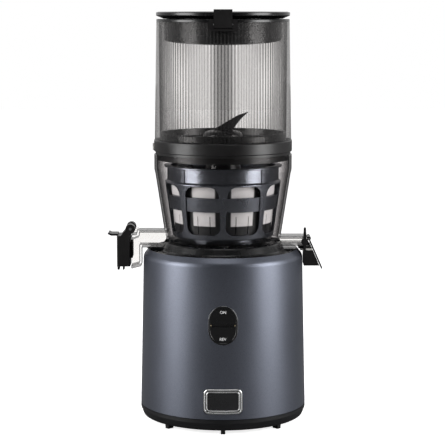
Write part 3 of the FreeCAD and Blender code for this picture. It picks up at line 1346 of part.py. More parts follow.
def strainer_radius(z):
    return cone_radius(STRAINER_LOW_R, STRAINER_LOW_Z, STRAINER_HIGH_R, STRAINER_STEP_Z, z)


def strainer_windows(margin, z0, z1, corner):
    """Upright openings through the strainer's wall, one in each sector."""
    half_turn = math.pi / STRAINER_SECTORS
    half_width = strainer_radius((z0 + z1) / 2) * math.sin(half_turn) - STRAINER_BAR / 2 - margin
    middle = (z0 + z1) / 2
    hole = plate_outline(2 * half_width, z1 - z0, corner, middle, -STRAINER_HIGH_R - 10, -STRAINER_INNER_CUT_R)
    return around(hole, STRAINER_SECTORS, 180.0 / STRAINER_SECTORS)


def make_strainer_frame():
    wall = STRAINER_WALL
    hole_r = BOWL_BOSS_R + 1
    foot_z = BOWL_FLOOR_TOP_Z + SEAT
    outline = [
        (hole_r, STRAINER_LOW_Z),
        (STRAINER_FOOT_R - 2, STRAINER_LOW_Z),
        (STRAINER_FOOT_R - 2, foot_z),
        (STRAINER_FOOT_R, foot_z),
        (STRAINER_FOOT_R, STRAINER_LOW_Z),
        (STRAINER_LOW_R, STRAINER_LOW_Z, 2.0),
        (STRAINER_HIGH_R, STRAINER_STEP_Z, 1.5),
        (STRAINER_TOP_R, STRAINER_STEP_Z + 1.5),
        (STRAINER_TOP_R, STRAINER_TOP_Z - 2),
        (STRAINER_FLANGE_R, STRAINER_TOP_Z - 2, 0.6),
        (STRAINER_FLANGE_R, STRAINER_TOP_Z, 0.6),
        (STRAINER_TOP_R - wall, STRAINER_TOP_Z),
        (STRAINER_TOP_R - wall, STRAINER_STEP_Z),
        (STRAINER_LOW_R - wall, STRAINER_LOW_Z + wall),
        (hole_r, STRAINER_LOW_Z + wall),
    ]
    frame = lathe(outline)
    frame = frame.cut(strainer_windows(0, WINDOW_LOW_Z, WINDOW_TOP_Z, WINDOW_CORNER))
    r0 = strainer_radius(BAND_LOW_Z) - BAND_INSET
    r1 = strainer_radius(BAND_TOP_Z) - BAND_INSET
    band_wall = wall - BAND_INSET
    band = lathe([(r0 - band_wall, BAND_LOW_Z), (r0, BAND_LOW_Z), (r1, BAND_TOP_Z), (r1 - band_wall, BAND_TOP_Z)])
    ribs = []
    for i in range(STRAINER_SECTORS):
        rib = box(STRAINER_TOP_R - 1, STRAINER_TOP_R + 1.0, -2.0, 2.0, STRAINER_STEP_Z, STRAINER_TOP_Z - 2)
        ribs.append(turned(rib, 360.0 * i / STRAINER_SECTORS - 90))
    frame = fused([frame, band] + ribs)
    floor_z = STRAINER_LOW_Z
    return frame.cut(box(PULP_PORT_X, STRAINER_LOW_R - wall - 0.5, -9, 9, floor_z - 1, floor_z + wall + 1))


def make_fine_strainer():
    """Thin pale liner inside the frame, with juice slits low down."""
    gap = STRAINER_WALL + SEAT
    low = STRAINER_LOW_Z + STRAINER_WALL + SEAT
    top = STRAINER_STEP_Z + 4
    r0 = STRAINER_LOW_R - gap
    r1 = STRAINER_TOP_R - gap
    outline = [(r0 - LINER_WALL, low), (r0, low), (r1, STRAINER_STEP_Z), (r1, top)]
    outline += [(r1 - LINER_WALL, top), (r1 - LINER_WALL, STRAINER_STEP_Z)]
    liner = lathe(outline)
    half = LINER_SLIT / 2
    slit = box(r0 - 6, r0 + 6, -half, half, low + 4, low + 4 + LINER_SLIT_HEIGHT)
    return liner.cut(around(slit, LINER_SLIT_COUNT))


def auger_flight(start_degrees):
    """One screw flight: a flat bar swept along a helix around the core."""
    height = AUGER_FLIGHT_TOP_Z - AUGER_FLIGHT_LOW_Z
    path = Part.makeHelix(AUGER_PITCH, height, AUGER_FLIGHT_R)
    inner = AUGER_TOP_R - 3
    corners = [vec(inner, 0, -AUGER_FLIGHT / 2), vec(AUGER_FLIGHT_R, 0, -AUGER_FLIGHT / 3)]
    corners += [vec(AUGER_FLIGHT_R, 0, AUGER_FLIGHT / 3), vec(inner, 0, AUGER_FLIGHT / 2)]
    section = Part.makePolygon(corners + [corners[0]])
    flight = Part.Wire(path).makePipeShell([section], True, True)
    flight = turned(flight, start_degrees)
    flight.translate(vec(0, 0, AUGER_FLIGHT_LOW_Z))
    return flight


def make_auger():
    socket_r = SOCKET_R + FIT
    outline = [
        (socket_r, AUGER_NECK_LOW_Z),
        (AUGER_NECK_R, AUGER_NECK_LOW_Z, 0.5),
        (AUGER_NECK_R, AUGER_CORE_LOW_Z),
        (AUGER_LOW_R, AUGER_CORE_LOW_Z, 2.0),
        (AUGER_TOP_R, AUGER_CORE_TOP_Z, 6.0),
        (AUGER_TOP_R, AUGER_TOP_Z, 2.0),
        (AUGER_SPIGOT_R, AUGER_TOP_Z),
        (AUGER_SPIGOT_R, AUGER_TOP_Z + AUGER_SPIGOT_HEIGHT),
        (0, AUGER_TOP_Z + AUGER_SPIGOT_HEIGHT),
        (0, SOCKET_TOP_Z),
        (socket_r, SOCKET_TOP_Z),
    ]
    core = lathe(outline)
    flights = [auger_flight(360.0 * i / AUGER_STARTS) for i in range(AUGER_STARTS)]
    return fused([core] + flights)


def make_auger_socket():
    """Six-sided socket pressed up into the auger's foot."""
    body = disc(SOCKET_R, AUGER_NECK_LOW_Z, SOCKET_TOP_Z - SEAT)
    return body.cut(hexagon(DRIVE_HEX + 2 * SEAT, AUGER_NECK_LOW_Z - 1, DRIVE_TOP_Z + 1))


def make_cutting_wing():
    """Domed hub on the auger with one rising blade."""
    low = AUGER_TOP_Z + SEAT
    dome = lathe([
        (AUGER_SPIGOT_R + FIT, low),
        (WING_HUB_R, low, 1.0),
        (WING_HUB_R, WING_HUB_TOP_Z - 4, 6.0),
        (0, WING_HUB_TOP_Z),
        (0, AUGER_TOP_Z + AUGER_SPIGOT_HEIGHT + SEAT),
        (AUGER_SPIGOT_R + FIT, AUGER_TOP_Z + AUGER_SPIGOT_HEIGHT + SEAT),
    ])
    x = WING_TIP_X
    z = WING_TIP_Z
    root = WING_HUB_TOP_Z
    blade_points = [
        (-x * 0.35, root - 6),
        (x * 0.30, root - 4, 12.0),
        (x * 0.72, root + 11, 20.0),
        (x, z),
        (x * 0.62, z - 3.2, 20.0),
        (x * 0.25, root + 9, 10.0),
        (-x * 0.35, root - 1, 4.0),
    ]
    blade = prism_y(blade_points, -WING_HALF, WING_HALF)
    return fused([dome, blade.cut(disc(AUGER_SPIGOT_R + 2, 0, WING_HUB_TOP_Z - 4))])


# Hopper


def hopper_radius(z):
    return cone_radius(HOPPER_LOW_R, HOPPER_LOW_Z, HOPPER_TOP_R, HOPPER_TOP_Z, z)


def make_hopper():
    wall = HOPPER_WALL
    outline = [
        (HOPPER_SPIGOT_R, HOPPER_SPIGOT_Z),
        (HOPPER_SPIGOT_R, HOPPER_LOW_Z),
        (HOPPER_LOW_R, HOPPER_LOW_Z, 0.6),
        (HOPPER_TOP_R, HOPPER_TOP_Z),
        (HOPPER_TOP_R - wall, HOPPER_TOP_Z),
        (HOPPER_SPIGOT_R - wall, HOPPER_LOW_Z + 2, 4.0),
        (HOPPER_SPIGOT_R - wall, HOPPER_SPIGOT_Z),
    ]
    return lathe(outline)


def make_hopper_ring():
    """Black base ring: it holds the hopper and drops a skirt into the bowl's mouth."""
    hold_r = HOPPER_SPIGOT_R + SEAT
    skirt_r = BOWL_FLANGE_R - BOWL_WALL - SEAT
    ledge_in = HOPPER_SPIGOT_R - RING_LEDGE
    low = BOWL_TOP_Z + SEAT
    outline = [
        (skirt_r, RING_SKIRT_Z),
        (skirt_r, low),
        (RING_NECK_R, low),
        (RING_NECK_R, RING_LOW_Z),
        (RING_R, RING_LOW_Z, 1.0),
        (RING_R, RING_TOP_Z, 1.2),
        (hold_r, RING_TOP_Z),
        (hold_r, HOPPER_SPIGOT_Z - SEAT),
        (ledge_in, HOPPER_SPIGOT_Z - SEAT),
        (ledge_in, RING_LEDGE_Z),
        (skirt_r - RING_WALL, RING_LEDGE_Z - 3),
        (skirt_r - RING_WALL, RING_SKIRT_Z),
    ]
    return lathe(outline)


def make_hopper_floor():
    """Funnel that guides food down past the cutting wing to the screw."""
    outer = HOPPER_SPIGOT_R - HOPPER_WALL - SEAT
    low = HOPPER_SPIGOT_Z
    outline = [
        (FLOOR_HOLE_R, FLOOR_LOW_Z),
        (FLOOR_HOLE_R + 3, FLOOR_LOW_Z),
        (outer - 8, low),
        (outer, low),
        (outer, FLOOR_RIM_Z, 1.5),
        (outer - FLOOR_WALL, FLOOR_RIM_Z, 0.5),
        (outer - FLOOR_WALL - 2, low + 6, 5.0),
        (FLOOR_HOLE_R + 3, FLOOR_LOW_Z + 3),
        (FLOOR_HOLE_R, FLOOR_LOW_Z + 3),
    ]
    floor = lathe(outline)
    mouth = tube(outer - 12, FLOOR_HOLE_R + 4, FLOOR_LOW_Z - 5, FLOOR_RIM_Z)
    sector = prism_z([(0, 0), (FEED_REACH, -FEED_REACH * 0.7), (FEED_REACH, FEED_REACH * 0.7)], FLOOR_LOW_Z - 5, FLOOR_RIM_Z)
    return floor.cut(mouth.common(sector))


def make_index_tab():
    """Small light tab on the left of the base ring that marks the locked position."""
    half = TAB_WIDTH / 2
    tab = box(-RING_R - TAB_PROUD, -RING_R + 1, -half, half, TAB_LOW_Z, TAB_LOW_Z + TAB_HEIGHT)
    return tab.cut(disc(RING_R + FIT, RING_LOW_Z - 5, RING_TOP_Z + 5))


def make_hopper_collar():
    """Rim flange with a guard ring inside, its lower edge slanting down to the front."""
    drop = COLLAR_REAR_Z - COLLAR_FRONT_Z
    inner = COLLAR_R - COLLAR_WALL
    rim_top = COLLAR_RIM_Z
    outline = [
        (inner, COLLAR_FRONT_Z),
        (COLLAR_R, COLLAR_FRONT_Z),
        (COLLAR_R, HOPPER_TOP_Z + SEAT / 3),
        (HOPPER_TOP_R, HOPPER_TOP_Z + SEAT / 3),
        (HOPPER_TOP_R, rim_top, 1.2),
        (inner, rim_top, 0.4),
    ]
    collar = lathe(outline)
    wedge = prism_x([(-COLLAR_R, COLLAR_FRONT_Z), (COLLAR_R, COLLAR_FRONT_Z - 1), (COLLAR_R, COLLAR_FRONT_Z + drop)], -COLLAR_R - 1, COLLAR_R + 1)
    collar = collar.cut(wedge)
    ears = []
    for side in (-1, 1):
        x0, x1 = sorted((side * (LID_BARREL_HALF + SEAT), side * (LID_BARREL_HALF + SEAT + LID_EAR)))
        y = LID_HINGE_Y
        z = LID_HINGE_Z
        eye = rod(LID_EYE_R, (x0, y, z), (x1, y, z))
        foot = prism_x([(y - 9, rim_top - 2.2), (y + 1, rim_top - 6), (y + LID_EYE_R, z), (y - LID_EYE_R, z)], x0, x1)
        ears.append(fused([eye, foot.cut(disc(HOPPER_TOP_R + 1, 0, HOPPER_TOP_Z + SEAT / 3))]))
    collar = fused([collar] + ears)
    pin_hole = rod(LID_PIN_R + FIT, (-30, LID_HINGE_Y, LID_HINGE_Z), (30, LID_HINGE_Y, LID_HINGE_Z))
    return collar.cut(pin_hole)


def make_lid():
    """Flat lid with a bevelled underside and a short plug inside the collar."""
    plug_r = COLLAR_R - COLLAR_WALL - LID_PLAY
    seat_z = COLLAR_RIM_Z + SEAT
    outline = [
        (0, LID_TOP_Z),
        (LID_R - 3, LID_TOP_Z - 0.4, 2.0),
        (LID_R, LID_TOP_Z - 1.2, 0.8),
        (LID_R, LID_EDGE_Z, 0.8),
        (COLLAR_R + 1, seat_z),
        (plug_r, seat_z),
        (plug_r, seat_z - LID_PLUG, 0.6),
        (plug_r - 2, seat_z - LID_PLUG, 0.6),
        (plug_r - 2, LID_TOP_Z - LID_THICK),
        (0, LID_TOP_Z - LID_THICK),
    ]
    lid = lathe(outline)
    groove = tube(plug_r + 1, plug_r - LID_GASKET_DEPTH, seat_z - LID_PLUG + 1.0, seat_z - LID_PLUG + 1.0 + LID_GASKET_HEIGHT)
    lid = lid.cut(groove)
    y = LID_HINGE_Y
    z = LID_HINGE_Z
    half = LID_BARREL_HALF
    barrel = rod(LID_EYE_R, (-half, y, z), (half, y, z))
    neck = prism_x([(y - 10, LID_TOP_Z - 1), (y - 10, LID_EDGE_Z), (y, z - 1), (y, z + LID_EYE_R)], -half, half)
    lid = fused([lid, barrel, neck])
    return lid.cut(rod(LID_PIN_R + FIT, (-30, y, z), (30, y, z)))


def make_lid_gasket():
    plug_r = COLLAR_R - COLLAR_WALL - LID_PLAY
    low = COLLAR_RIM_Z + SEAT - LID_PLUG + 1.0 + FIT
    return tube(plug_r + 0.1, plug_r - LID_GASKET_DEPTH + FIT, low, low + LID_GASKET_HEIGHT - 2 * FIT)


def make_lid_pin():
    reach = LID_BARREL_HALF + SEAT + LID_EAR
    return rod(LID_PIN_R, (-reach, LID_HINGE_Y, LID_HINGE_Z), (reach, LID_HINGE_Y, LID_HINGE_Z))


def make_latch_housing():
    half = HOUSING_HALF
    points = [(-half, HOUSING_LOW_Z, 5.0), (half, HOUSING_LOW_Z, 5.0), (half, COLLAR_RIM_Z), (-half, COLLAR_RIM_Z)]
    front = -HOUSING_FRONT
    block = prism_y(points, front, -HOPPER_TOP_R + 6)
    block = block.cut(disc(HOPPER_TOP_R + SEAT, HOUSING_LOW_Z - 5, LID_TOP_Z))
    pocket = box(-LATCH_HALF - SEAT, LATCH_HALF + SEAT, front - 1, -LATCH_BACK, HOUSING_LOW_Z + HOUSING_FLOOR, LID_TOP_Z)
    block = block.cut(pocket)
    reach = half - 2
    return block.cut(rod(LATCH_PIN_R + FIT, (-reach, -LATCH_PIVOT_Y, LATCH_PIVOT_Z), (reach, -LATCH_PIVOT_Y, LATCH_PIVOT_Z)))


def make_latch():
    """Front catch: a plate on a pin whose top edge hooks over the lid."""
    front = -LATCH_FRONT
    rear = front + LATCH_THICK
    low = LATCH_LOW_Z
    hook_z = LID_TOP_Z + SEAT
    points = [
        (front + 0.6, low, 0.5),
        (rear - 0.2, low, 0.5),
        (rear, LATCH_PIVOT_Z),
        (rear, hook_z),
        (-LID_R + LATCH_HOOK, hook_z),
        (-LID_R + LATCH_HOOK, LATCH_TOP_Z, 0.6),
        (front, LATCH_TOP_Z, 1.2),
    ]
    plate = prism_x(points, -LATCH_HALF, LATCH_HALF)
    reach = LATCH_HALF
    return plate.cut(rod(LATCH_PIN_R + FIT, (-reach - 1, -LATCH_PIVOT_Y, LATCH_PIVOT_Z), (reach + 1, -LATCH_PIVOT_Y, LATCH_PIVOT_Z)))


def make_latch_pin():
    reach = HOUSING_HALF - 2 - FIT
    return rod(LATCH_PIN_R, (-reach, -LATCH_PIVOT_Y, LATCH_PIVOT_Z), (reach, -LATCH_PIVOT_Y, LATCH_PIVOT_Z))


def make_latch_spring():
    rear = -LATCH_FRONT + LATCH_THICK
    spring = coil(LATCH_SPRING_R, LATCH_SPRING_WIRE, -LATCH_BACK - rear, 3)
    spring = turned(spring, -90, axis=(1, 0, 0))
    spring.translate(vec(0, rear, LATCH_LOW_Z + LATCH_SPRING_R + 0.5))
    return spring


PIECES = {
    "body_shell": make_body_shell,
    "base_cover": make_base_cover,
    "rubber_feet": make_feet,
    "cover_screws": make_cover_screws,
    "top_deck": make_top_deck,
    "shaft_seal": make_shaft_seal,
    "cord_gland": make_cord_gland,
    "badge_frame": make_badge_frame,
    "badge_plate": make_badge_plate,
    "button_bezel": make_button_bezel,
    "button_guide": make_button_guide,
    "indicator_lights": make_indicator_lights,
    "on_button": lambda: make_button(1),
    "rev_button": lambda: make_button(-1),
    "on_button_spring": lambda: make_button_spring(1),
    "rev_button_spring": lambda: make_button_spring(-1),
    "switch_board": make_switch_board,
    "motor_can": make_motor_can,
    "motor_bearings": make_motor_bearings,
    "stator": make_stator,
    "windings": make_windings,
    "rotor": make_rotor,
    "motor_shaft": make_motor_shaft,
    "cooling_fan": make_fan,
    "motor_bracket": make_motor_bracket,
    "gearbox_base": make_gearbox_base,
    "gearbox_case": make_gearbox_case,
    "gearbox_screws": make_gearbox_screws,
    "compound_gear": make_compound_gear,
    "output_gear": make_output_gear,
    "shaft_bearing": make_shaft_bearing,
    "drive_shaft": make_drive_shaft,
    "circuit_board": make_circuit_board,
    "juice_bowl": make_juice_bowl,
    "bowl_seal": make_bowl_seal,
    "juice_cap": make_juice_cap,
    "cap_pad": make_cap_pad,
    "pulp_gasket": make_pulp_gasket,
    "chute_trim": make_chute_trim,
    "pulp_chute": make_pulp_chute,
    "pulp_flap": make_pulp_flap,
    "spout_pins": make_spout_pins,
    "pulp_lever": make_pulp_lever,
    "strainer_frame": make_strainer_frame,
    "fine_strainer": make_fine_strainer,
    "auger": make_auger,
    "auger_socket": make_auger_socket,
    "cutting_wing": make_cutting_wing,
    "hopper": make_hopper,
    "hopper_ring": make_hopper_ring,
    "index_tab": make_index_tab,
    "hopper_floor": make_hopper_floor,
    "hopper_collar": make_hopper_collar,
    "lid": make_lid,
    "lid_pin": make_lid_pin,
    "lid_gasket": make_lid_gasket,
    "latch_housing": make_latch_housing,
    "latch": make_latch,
    "latch_pin": make_latch_pin,
    "latch_spring": make_latch_spring,
}

os.makedirs("parts", exist_ok=True)
for node, make in PIECES.items():
    make().exportStep("parts/" + node + ".step")
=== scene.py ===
import math

import bpy
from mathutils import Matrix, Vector


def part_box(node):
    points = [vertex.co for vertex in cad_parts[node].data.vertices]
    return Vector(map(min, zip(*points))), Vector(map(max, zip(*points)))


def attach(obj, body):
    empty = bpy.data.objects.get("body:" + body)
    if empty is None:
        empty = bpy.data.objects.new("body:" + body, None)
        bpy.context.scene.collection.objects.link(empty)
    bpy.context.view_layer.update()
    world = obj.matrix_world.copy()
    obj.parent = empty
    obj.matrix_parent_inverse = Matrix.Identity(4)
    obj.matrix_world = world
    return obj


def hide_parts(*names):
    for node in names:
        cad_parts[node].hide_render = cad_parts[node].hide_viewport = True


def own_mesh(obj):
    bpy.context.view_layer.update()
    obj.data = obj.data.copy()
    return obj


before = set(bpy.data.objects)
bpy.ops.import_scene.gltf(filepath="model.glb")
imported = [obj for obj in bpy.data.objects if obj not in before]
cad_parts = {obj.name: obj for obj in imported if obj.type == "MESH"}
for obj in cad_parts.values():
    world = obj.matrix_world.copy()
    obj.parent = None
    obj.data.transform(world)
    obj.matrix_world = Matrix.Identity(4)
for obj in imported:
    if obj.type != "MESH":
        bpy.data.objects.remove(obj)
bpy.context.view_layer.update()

bl_info = {
    "name": "Cold Press Juicer",
    "version": (1, 0, 0),
    "blender": (4, 5, 0),
    "location": "3D View > Sidebar > Juicer",
    "description": "Finishes and fine detail for an upright slow juicer",
    "category": "Object",
}


# Sizes in metres that the finer pieces share with the model
HOPPER_TAPER = 0.00235
HOPPER_WALL = 0.0026
SPIGOT_STEP = 0.00285
SPIGOT_HEIGHT = 0.0085
RIB_END = 0.0004
COLUMNS_PER_RIB = 8
WINDOW_COUNT = 8
WALL_FOOT_R = 0.0933
WALL_FOOT_Z = 0.0176
WALL_SLOPE = 0.0228
PANEL_SHARE = 0.60
# Heights of the pale panels; the lower row starts above its window's foot, leaving a band of painted shade
# below it
PANEL_ROWS = ((0.2240, 0.2400), (0.2555, 0.2685))

# Printed words: heights of their middles, and the shape of the letters
ON_WORD_Z = 0.1357
REV_WORD_Z = 0.1064
BUTTON_LEAN = math.radians(1.306)
CAPITAL_SHARE = 0.72
INK_SPREAD = 0.01

# Round beads on the wall, each as its name, inset from the outline, radius, rise of its middle and finish
CORNER_STEPS = 12
BEAD_STEPS = 10
LOOP_STEP = 0.0010
BADGE_CORNER = 0.0050
CORNER_SHRINK = 0.6
BADGE_BEADS = (
    ("badge_outer_bead", 0.0011, 0.00110, -0.00065, "bright_frame"),
    # Painted shade: a black bead fills the gap between the two bright borders
    ("badge_gap_shade_bead", 0.0025, 0.00050, -0.00030, "satin_black"),
    ("badge_inner_bead", 0.0034, 0.00070, -0.00030, "bright_frame"),
)
BEZEL_BEADS = (
    ("bezel_edge_bead", 0.0012, 0.00120, 0.0003, "gloss_black"),
    ("bezel_bright_bead", 0.0002, 0.00030, 0.0003, "bright_frame"),
)

# Camera, lamps and backdrop
MIDDLE_X = -0.00056
AIM_Z = 0.2219
LAMP_AIM = (0, 0, 0.2)
SIDE_BOX_SIZE = (0.75, 1.3)
SIDE_BOX_PLACE = (1.22, -0.50, 0.38)
TOP_BOX_SIZE = (0.9, 0.9)
TOP_BOX_PLACE = (0, -0.3, 1.7)
LIGHT_IN_FRONT = 0.03
LIGHT_BEHIND = 0.85
FLOOR_REACH = 6.0
FLOOR_GLOW = 0.8


# Settings


class BaseSettings(bpy.types.PropertyGroup):
    paint: bpy.props.FloatVectorProperty(
        name="Body Paint", description="Colour of the metallic body paint",
        subtype="COLOR", size=3, min=0, max=1, default=(0.125, 0.135, 0.165))
    paint_roughness: bpy.props.FloatProperty(
        name="Paint Roughness", description="How far the body's highlights spread",
        min=0, max=1, default=0.42)
    flake_size: bpy.props.FloatProperty(
        name="Flake Size", description="Distance between the paint's metal flakes",
        subtype="DISTANCE", unit="LENGTH", min=0.0001, max=0.01, default=0.0006)
    word_height: bpy.props.FloatProperty(
        name="Word Height", description="Letter height on the two buttons",
        subtype="DISTANCE", unit="LENGTH", min=0.001, max=0.01, default=0.0031)
    word_lift: bpy.props.FloatProperty(
        name="Word Lift", description="How far the printed letters stand off the button",
        subtype="DISTANCE", unit="LENGTH", min=0.00001, max=0.0005, default=0.00006)


class HopperSettings(bpy.types.PropertyGroup):
    rib_count: bpy.props.IntProperty(
        name="Rib Count", description="Upright ribs around the inside of the hopper",
        min=12, max=400, default=120)
    rib_depth: bpy.props.FloatProperty(
        name="Rib Depth", description="How far a rib stands in from the wall",
        subtype="DISTANCE", unit="LENGTH", min=0.0001, max=0.003, default=0.0009)
    rib_bottom: bpy.props.FloatProperty(
        name="Rib Bottom", description="Height at which the ribs start",
        subtype="DISTANCE", unit="LENGTH", default=0.3252)
    rib_top: bpy.props.FloatProperty(
        name="Rib Top", description="Height at which the ribs end",
        subtype="DISTANCE", unit="LENGTH", default=0.4458)
    smoke: bpy.props.FloatVectorProperty(
        name="Smoke", description="Tint of the hopper's clear plastic",
        subtype="COLOR", size=3, min=0, max=1, default=(0.985, 0.978, 0.974))
    # Painted shade: the valleys between the ribs are dimmed and hazed, standing in for dark surroundings
    # refracted through each rib
    valley_painted_shade: bpy.props.FloatProperty(
        name="Valley Painted Shade", description="Light that passes between two ribs, as a share",
        min=0, max=1, default=0.55)
    valley_painted_haze: bpy.props.FloatProperty(
        name="Valley Haze", description="Grey haze between two ribs, as a share",
        min=0, max=1, default=0.07)
    # Painted reflection: a dark column down the middle of the hopper, standing in for the dark surroundings
    # in front
    middle_painted_shade: bpy.props.FloatProperty(
        name="Middle Painted Shade", description="Light that passes down the middle, as a share",
        min=0, max=1, default=0.74)


class StageSettings(bpy.types.PropertyGroup):
    lens: bpy.props.FloatProperty(
        name="Lens", description="Focal length of the camera in millimetres",
        min=10, max=400, default=130.3)
    distance: bpy.props.FloatProperty(
        name="Distance", description="How far in front of the juicer the camera stands",
        subtype="DISTANCE", unit="LENGTH", default=1.8011)
    height: bpy.props.FloatProperty(
        name="Height", description="Camera height", subtype="DISTANCE", unit="LENGTH", default=0.4535)
    softbox: bpy.props.FloatProperty(
        name="Soft Box Power", description="Power of each tall side lamp in watts",
        min=0, max=500, default=24.0)
    fill: bpy.props.FloatProperty(
        name="Top Light Power", description="Power of the lamp overhead in watts",
        min=0, max=500, default=6.0)


# Helpers


def new_mesh_object(name, mesh):
    piece = bpy.data.objects.new(name, mesh)
    bpy.context.scene.collection.objects.link(piece)
    return piece


def dress(node, material):
    """Gives a CAD node its material in every slot."""
    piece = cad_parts[node]
    if not piece.material_slots:
        piece.data.materials.append(material)
    for slot in piece.material_slots:
        slot.material = material


class Wires:
    """A material's node tree with short calls for adding and joining nodes."""

    def __init__(self, name):
        self.material = bpy.data.materials.new(name)
        self.material.use_nodes = True
        self.tree = self.material.node_tree
        self.tree.nodes.clear()

    def add(self, kind, **values):
        node = self.tree.nodes.new("ShaderNode" + kind)
        for key, value in values.items():
            if hasattr(node, key):
                setattr(node, key, value)
            else:
                node.inputs[key.replace("_", " ")].default_value = value
        return node

    def join(self, source, target):
        self.tree.links.new(source, target)

    def object_point(self, stretch=(1, 1, 1)):
        """Object coordinates, stretched along the axes."""
        place = self.add("TexCoord")
        mapping = self.add("Mapping")
        mapping.inputs["Scale"].default_value = stretch
        self.join(place.outputs["Object"], mapping.inputs["Vector"])
        return mapping.outputs["Vector"]

    def noise(self, scale, detail=3.0, stretch=(1, 1, 1)):
        noise = self.add("TexNoise", Scale=scale, Detail=detail)
        self.join(self.object_point(stretch), noise.inputs["Vector"])
        return noise.outputs["Fac"]

    def maths(self, operation, first, second=0.0):
        """One step of arithmetic on sockets or numbers."""
        node = self.add("Math", operation=operation)
        for socket, value in zip(node.inputs, (first, second)):
            if isinstance(value, (int, float)):
                socket.default_value = value
            else:
                self.join(value, socket)
        return node.outputs[0]

    def axes(self):
        """The three object coordinates."""
        parts = self.add("SeparateXYZ")
        self.join(self.object_point(), parts.inputs[0])
        return parts.outputs[0], parts.outputs[1], parts.outputs[2]

    def around_axis(self, count, start=0.0):
        """Distance from the middle of the nearest of some even sectors around Z, 0 to 1 at its edge."""
        x, y, _ = self.axes()
        turns = self.maths("DIVIDE", self.maths("ARCTAN2", y, x), 2 * math.pi / count)
        phase = self.maths("FRACT", self.maths("ADD", turns, count + 0.5 + start))
        return self.maths("MULTIPLY", self.maths("ABSOLUTE", self.maths("SUBTRACT", phase, 0.5)), 2.0)

    def within(self, source, low, high, soft):
        """1 between two limits, 0 outside them."""
        rise = self.add("MapRange", From_Min=low - soft, From_Max=low + soft)
        fall = self.add("MapRange", From_Min=high - soft, From_Max=high + soft, To_Min=1.0, To_Max=0.0)
        self.join(source, rise.inputs["Value"])
        self.join(source, fall.inputs["Value"])
        return self.maths("MULTIPLY", rise.outputs["Result"], fall.outputs["Result"])

    def scaled(self, colour, factor):
        """A colour multiplied by a number."""
        node = self.add("VectorMath", operation="SCALE")
        self.join(colour, node.inputs[0])
        self.join(factor, node.inputs["Scale"])
        return node.outputs[0]

    def ramp(self, source, stops):
        ramp = self.add("ValToRGB")
        elements = ramp.color_ramp.elements
        while len(elements) < len(stops):
            elements.new(0.5)
        for element, (position, colour) in zip(elements, stops):
            element.position = position
            element.color = (*colour, 1.0)
        self.join(source, ramp.inputs["Fac"])
        return ramp.outputs["Color"]

    def bump(self, source, distance):
        bump = self.add("Bump", Strength=1.0, Distance=distance)
        self.join(source, bump.inputs["Height"])
        return bump.outputs["Normal"]

    def between(self, source, low, high):
        """A number from one end value to the other as a noise rises."""
        node = self.add("MapRange", From_Min=0.3, From_Max=0.7, To_Min=low, To_Max=high)
        self.join(source, node.inputs["Value"])
        return node.outputs["Result"]

    def mottled(self, source, low, high):
        """A colour from one to the other as a noise rises."""
        return self.ramp(source, [(0.3, low), (0.7, high)])

    def finish(self, shader):
        output = self.add("OutputMaterial")
        self.join(shader, output.inputs["Surface"])
        return self.material


def shade(colour, factor):
    return tuple(min(1.0, c * factor) for c in colour)


def moulded(name, colour, roughness, grain=2500.0, depth=0.00002, shine=0.5):
    """Moulded plastic or rubber: fine grain, a little colour drift and uneven gloss."""
    wires = Wires(name)
    drift = wires.noise(60.0, 4.0)
    skin = wires.noise(grain, 2.0)
    surface = wires.add("BsdfPrincipled")
    surface.inputs["Specular IOR Level"].default_value = shine
    wires.join(wires.mottled(drift, shade(colour, 0.88), shade(colour, 1.12)), surface.inputs["Base Color"])
    wires.join(wires.between(drift, roughness * 0.85, roughness * 1.15), surface.inputs["Roughness"])
    wires.join(wires.bump(skin, depth), surface.inputs["Normal"])
    return wires.finish(surface.outputs["BSDF"])


def metallic_paint(name, colour, roughness, flake_size):
    """Satin paint with metal flakes under a thin clear coat."""
    wires = Wires(name)
    flakes = wires.add("TexVoronoi", Scale=1.0 / flake_size)
    wires.join(wires.object_point(), flakes.inputs["Vector"])
    drift = wires.noise(14.0, 3.0)
    tone = wires.ramp(flakes.outputs["Distance"], [(0.0, shade(colour, 1.22)), (0.9, shade(colour, 0.82))])
    surface = wires.add("BsdfPrincipled", Metallic=0.9)
    surface.inputs["Coat Weight"].default_value = 0.12
    surface.inputs["Coat Roughness"].default_value = 0.3
    wires.join(tone, surface.inputs["Base Color"])
    wires.join(wires.between(drift, roughness - 0.03, roughness + 0.03), surface.inputs["Roughness"])
    orange_peel = wires.noise(900.0, 2.0)
    wires.join(wires.bump(orange_peel, 0.000012), surface.inputs["Normal"])
    return wires.finish(surface.outputs["BSDF"])


def worked_metal(name, colour, roughness, stretch=(1, 1, 1), depth=0.000006):
    """Ground, brushed or polished metal; the stretch sets which way the marks run."""
    wires = Wires(name)
    marks = wires.noise(1800.0, 3.0, stretch)
    surface = wires.add("BsdfPrincipled", Metallic=1.0)
    wires.join(wires.mottled(marks, shade(colour, 0.9), shade(colour, 1.06)), surface.inputs["Base Color"])
    wires.join(wires.between(marks, roughness * 0.8, roughness * 1.25), surface.inputs["Roughness"])
    wires.join(wires.bump(marks, depth), surface.inputs["Normal"])
    return wires.finish(surface.outputs["BSDF"])


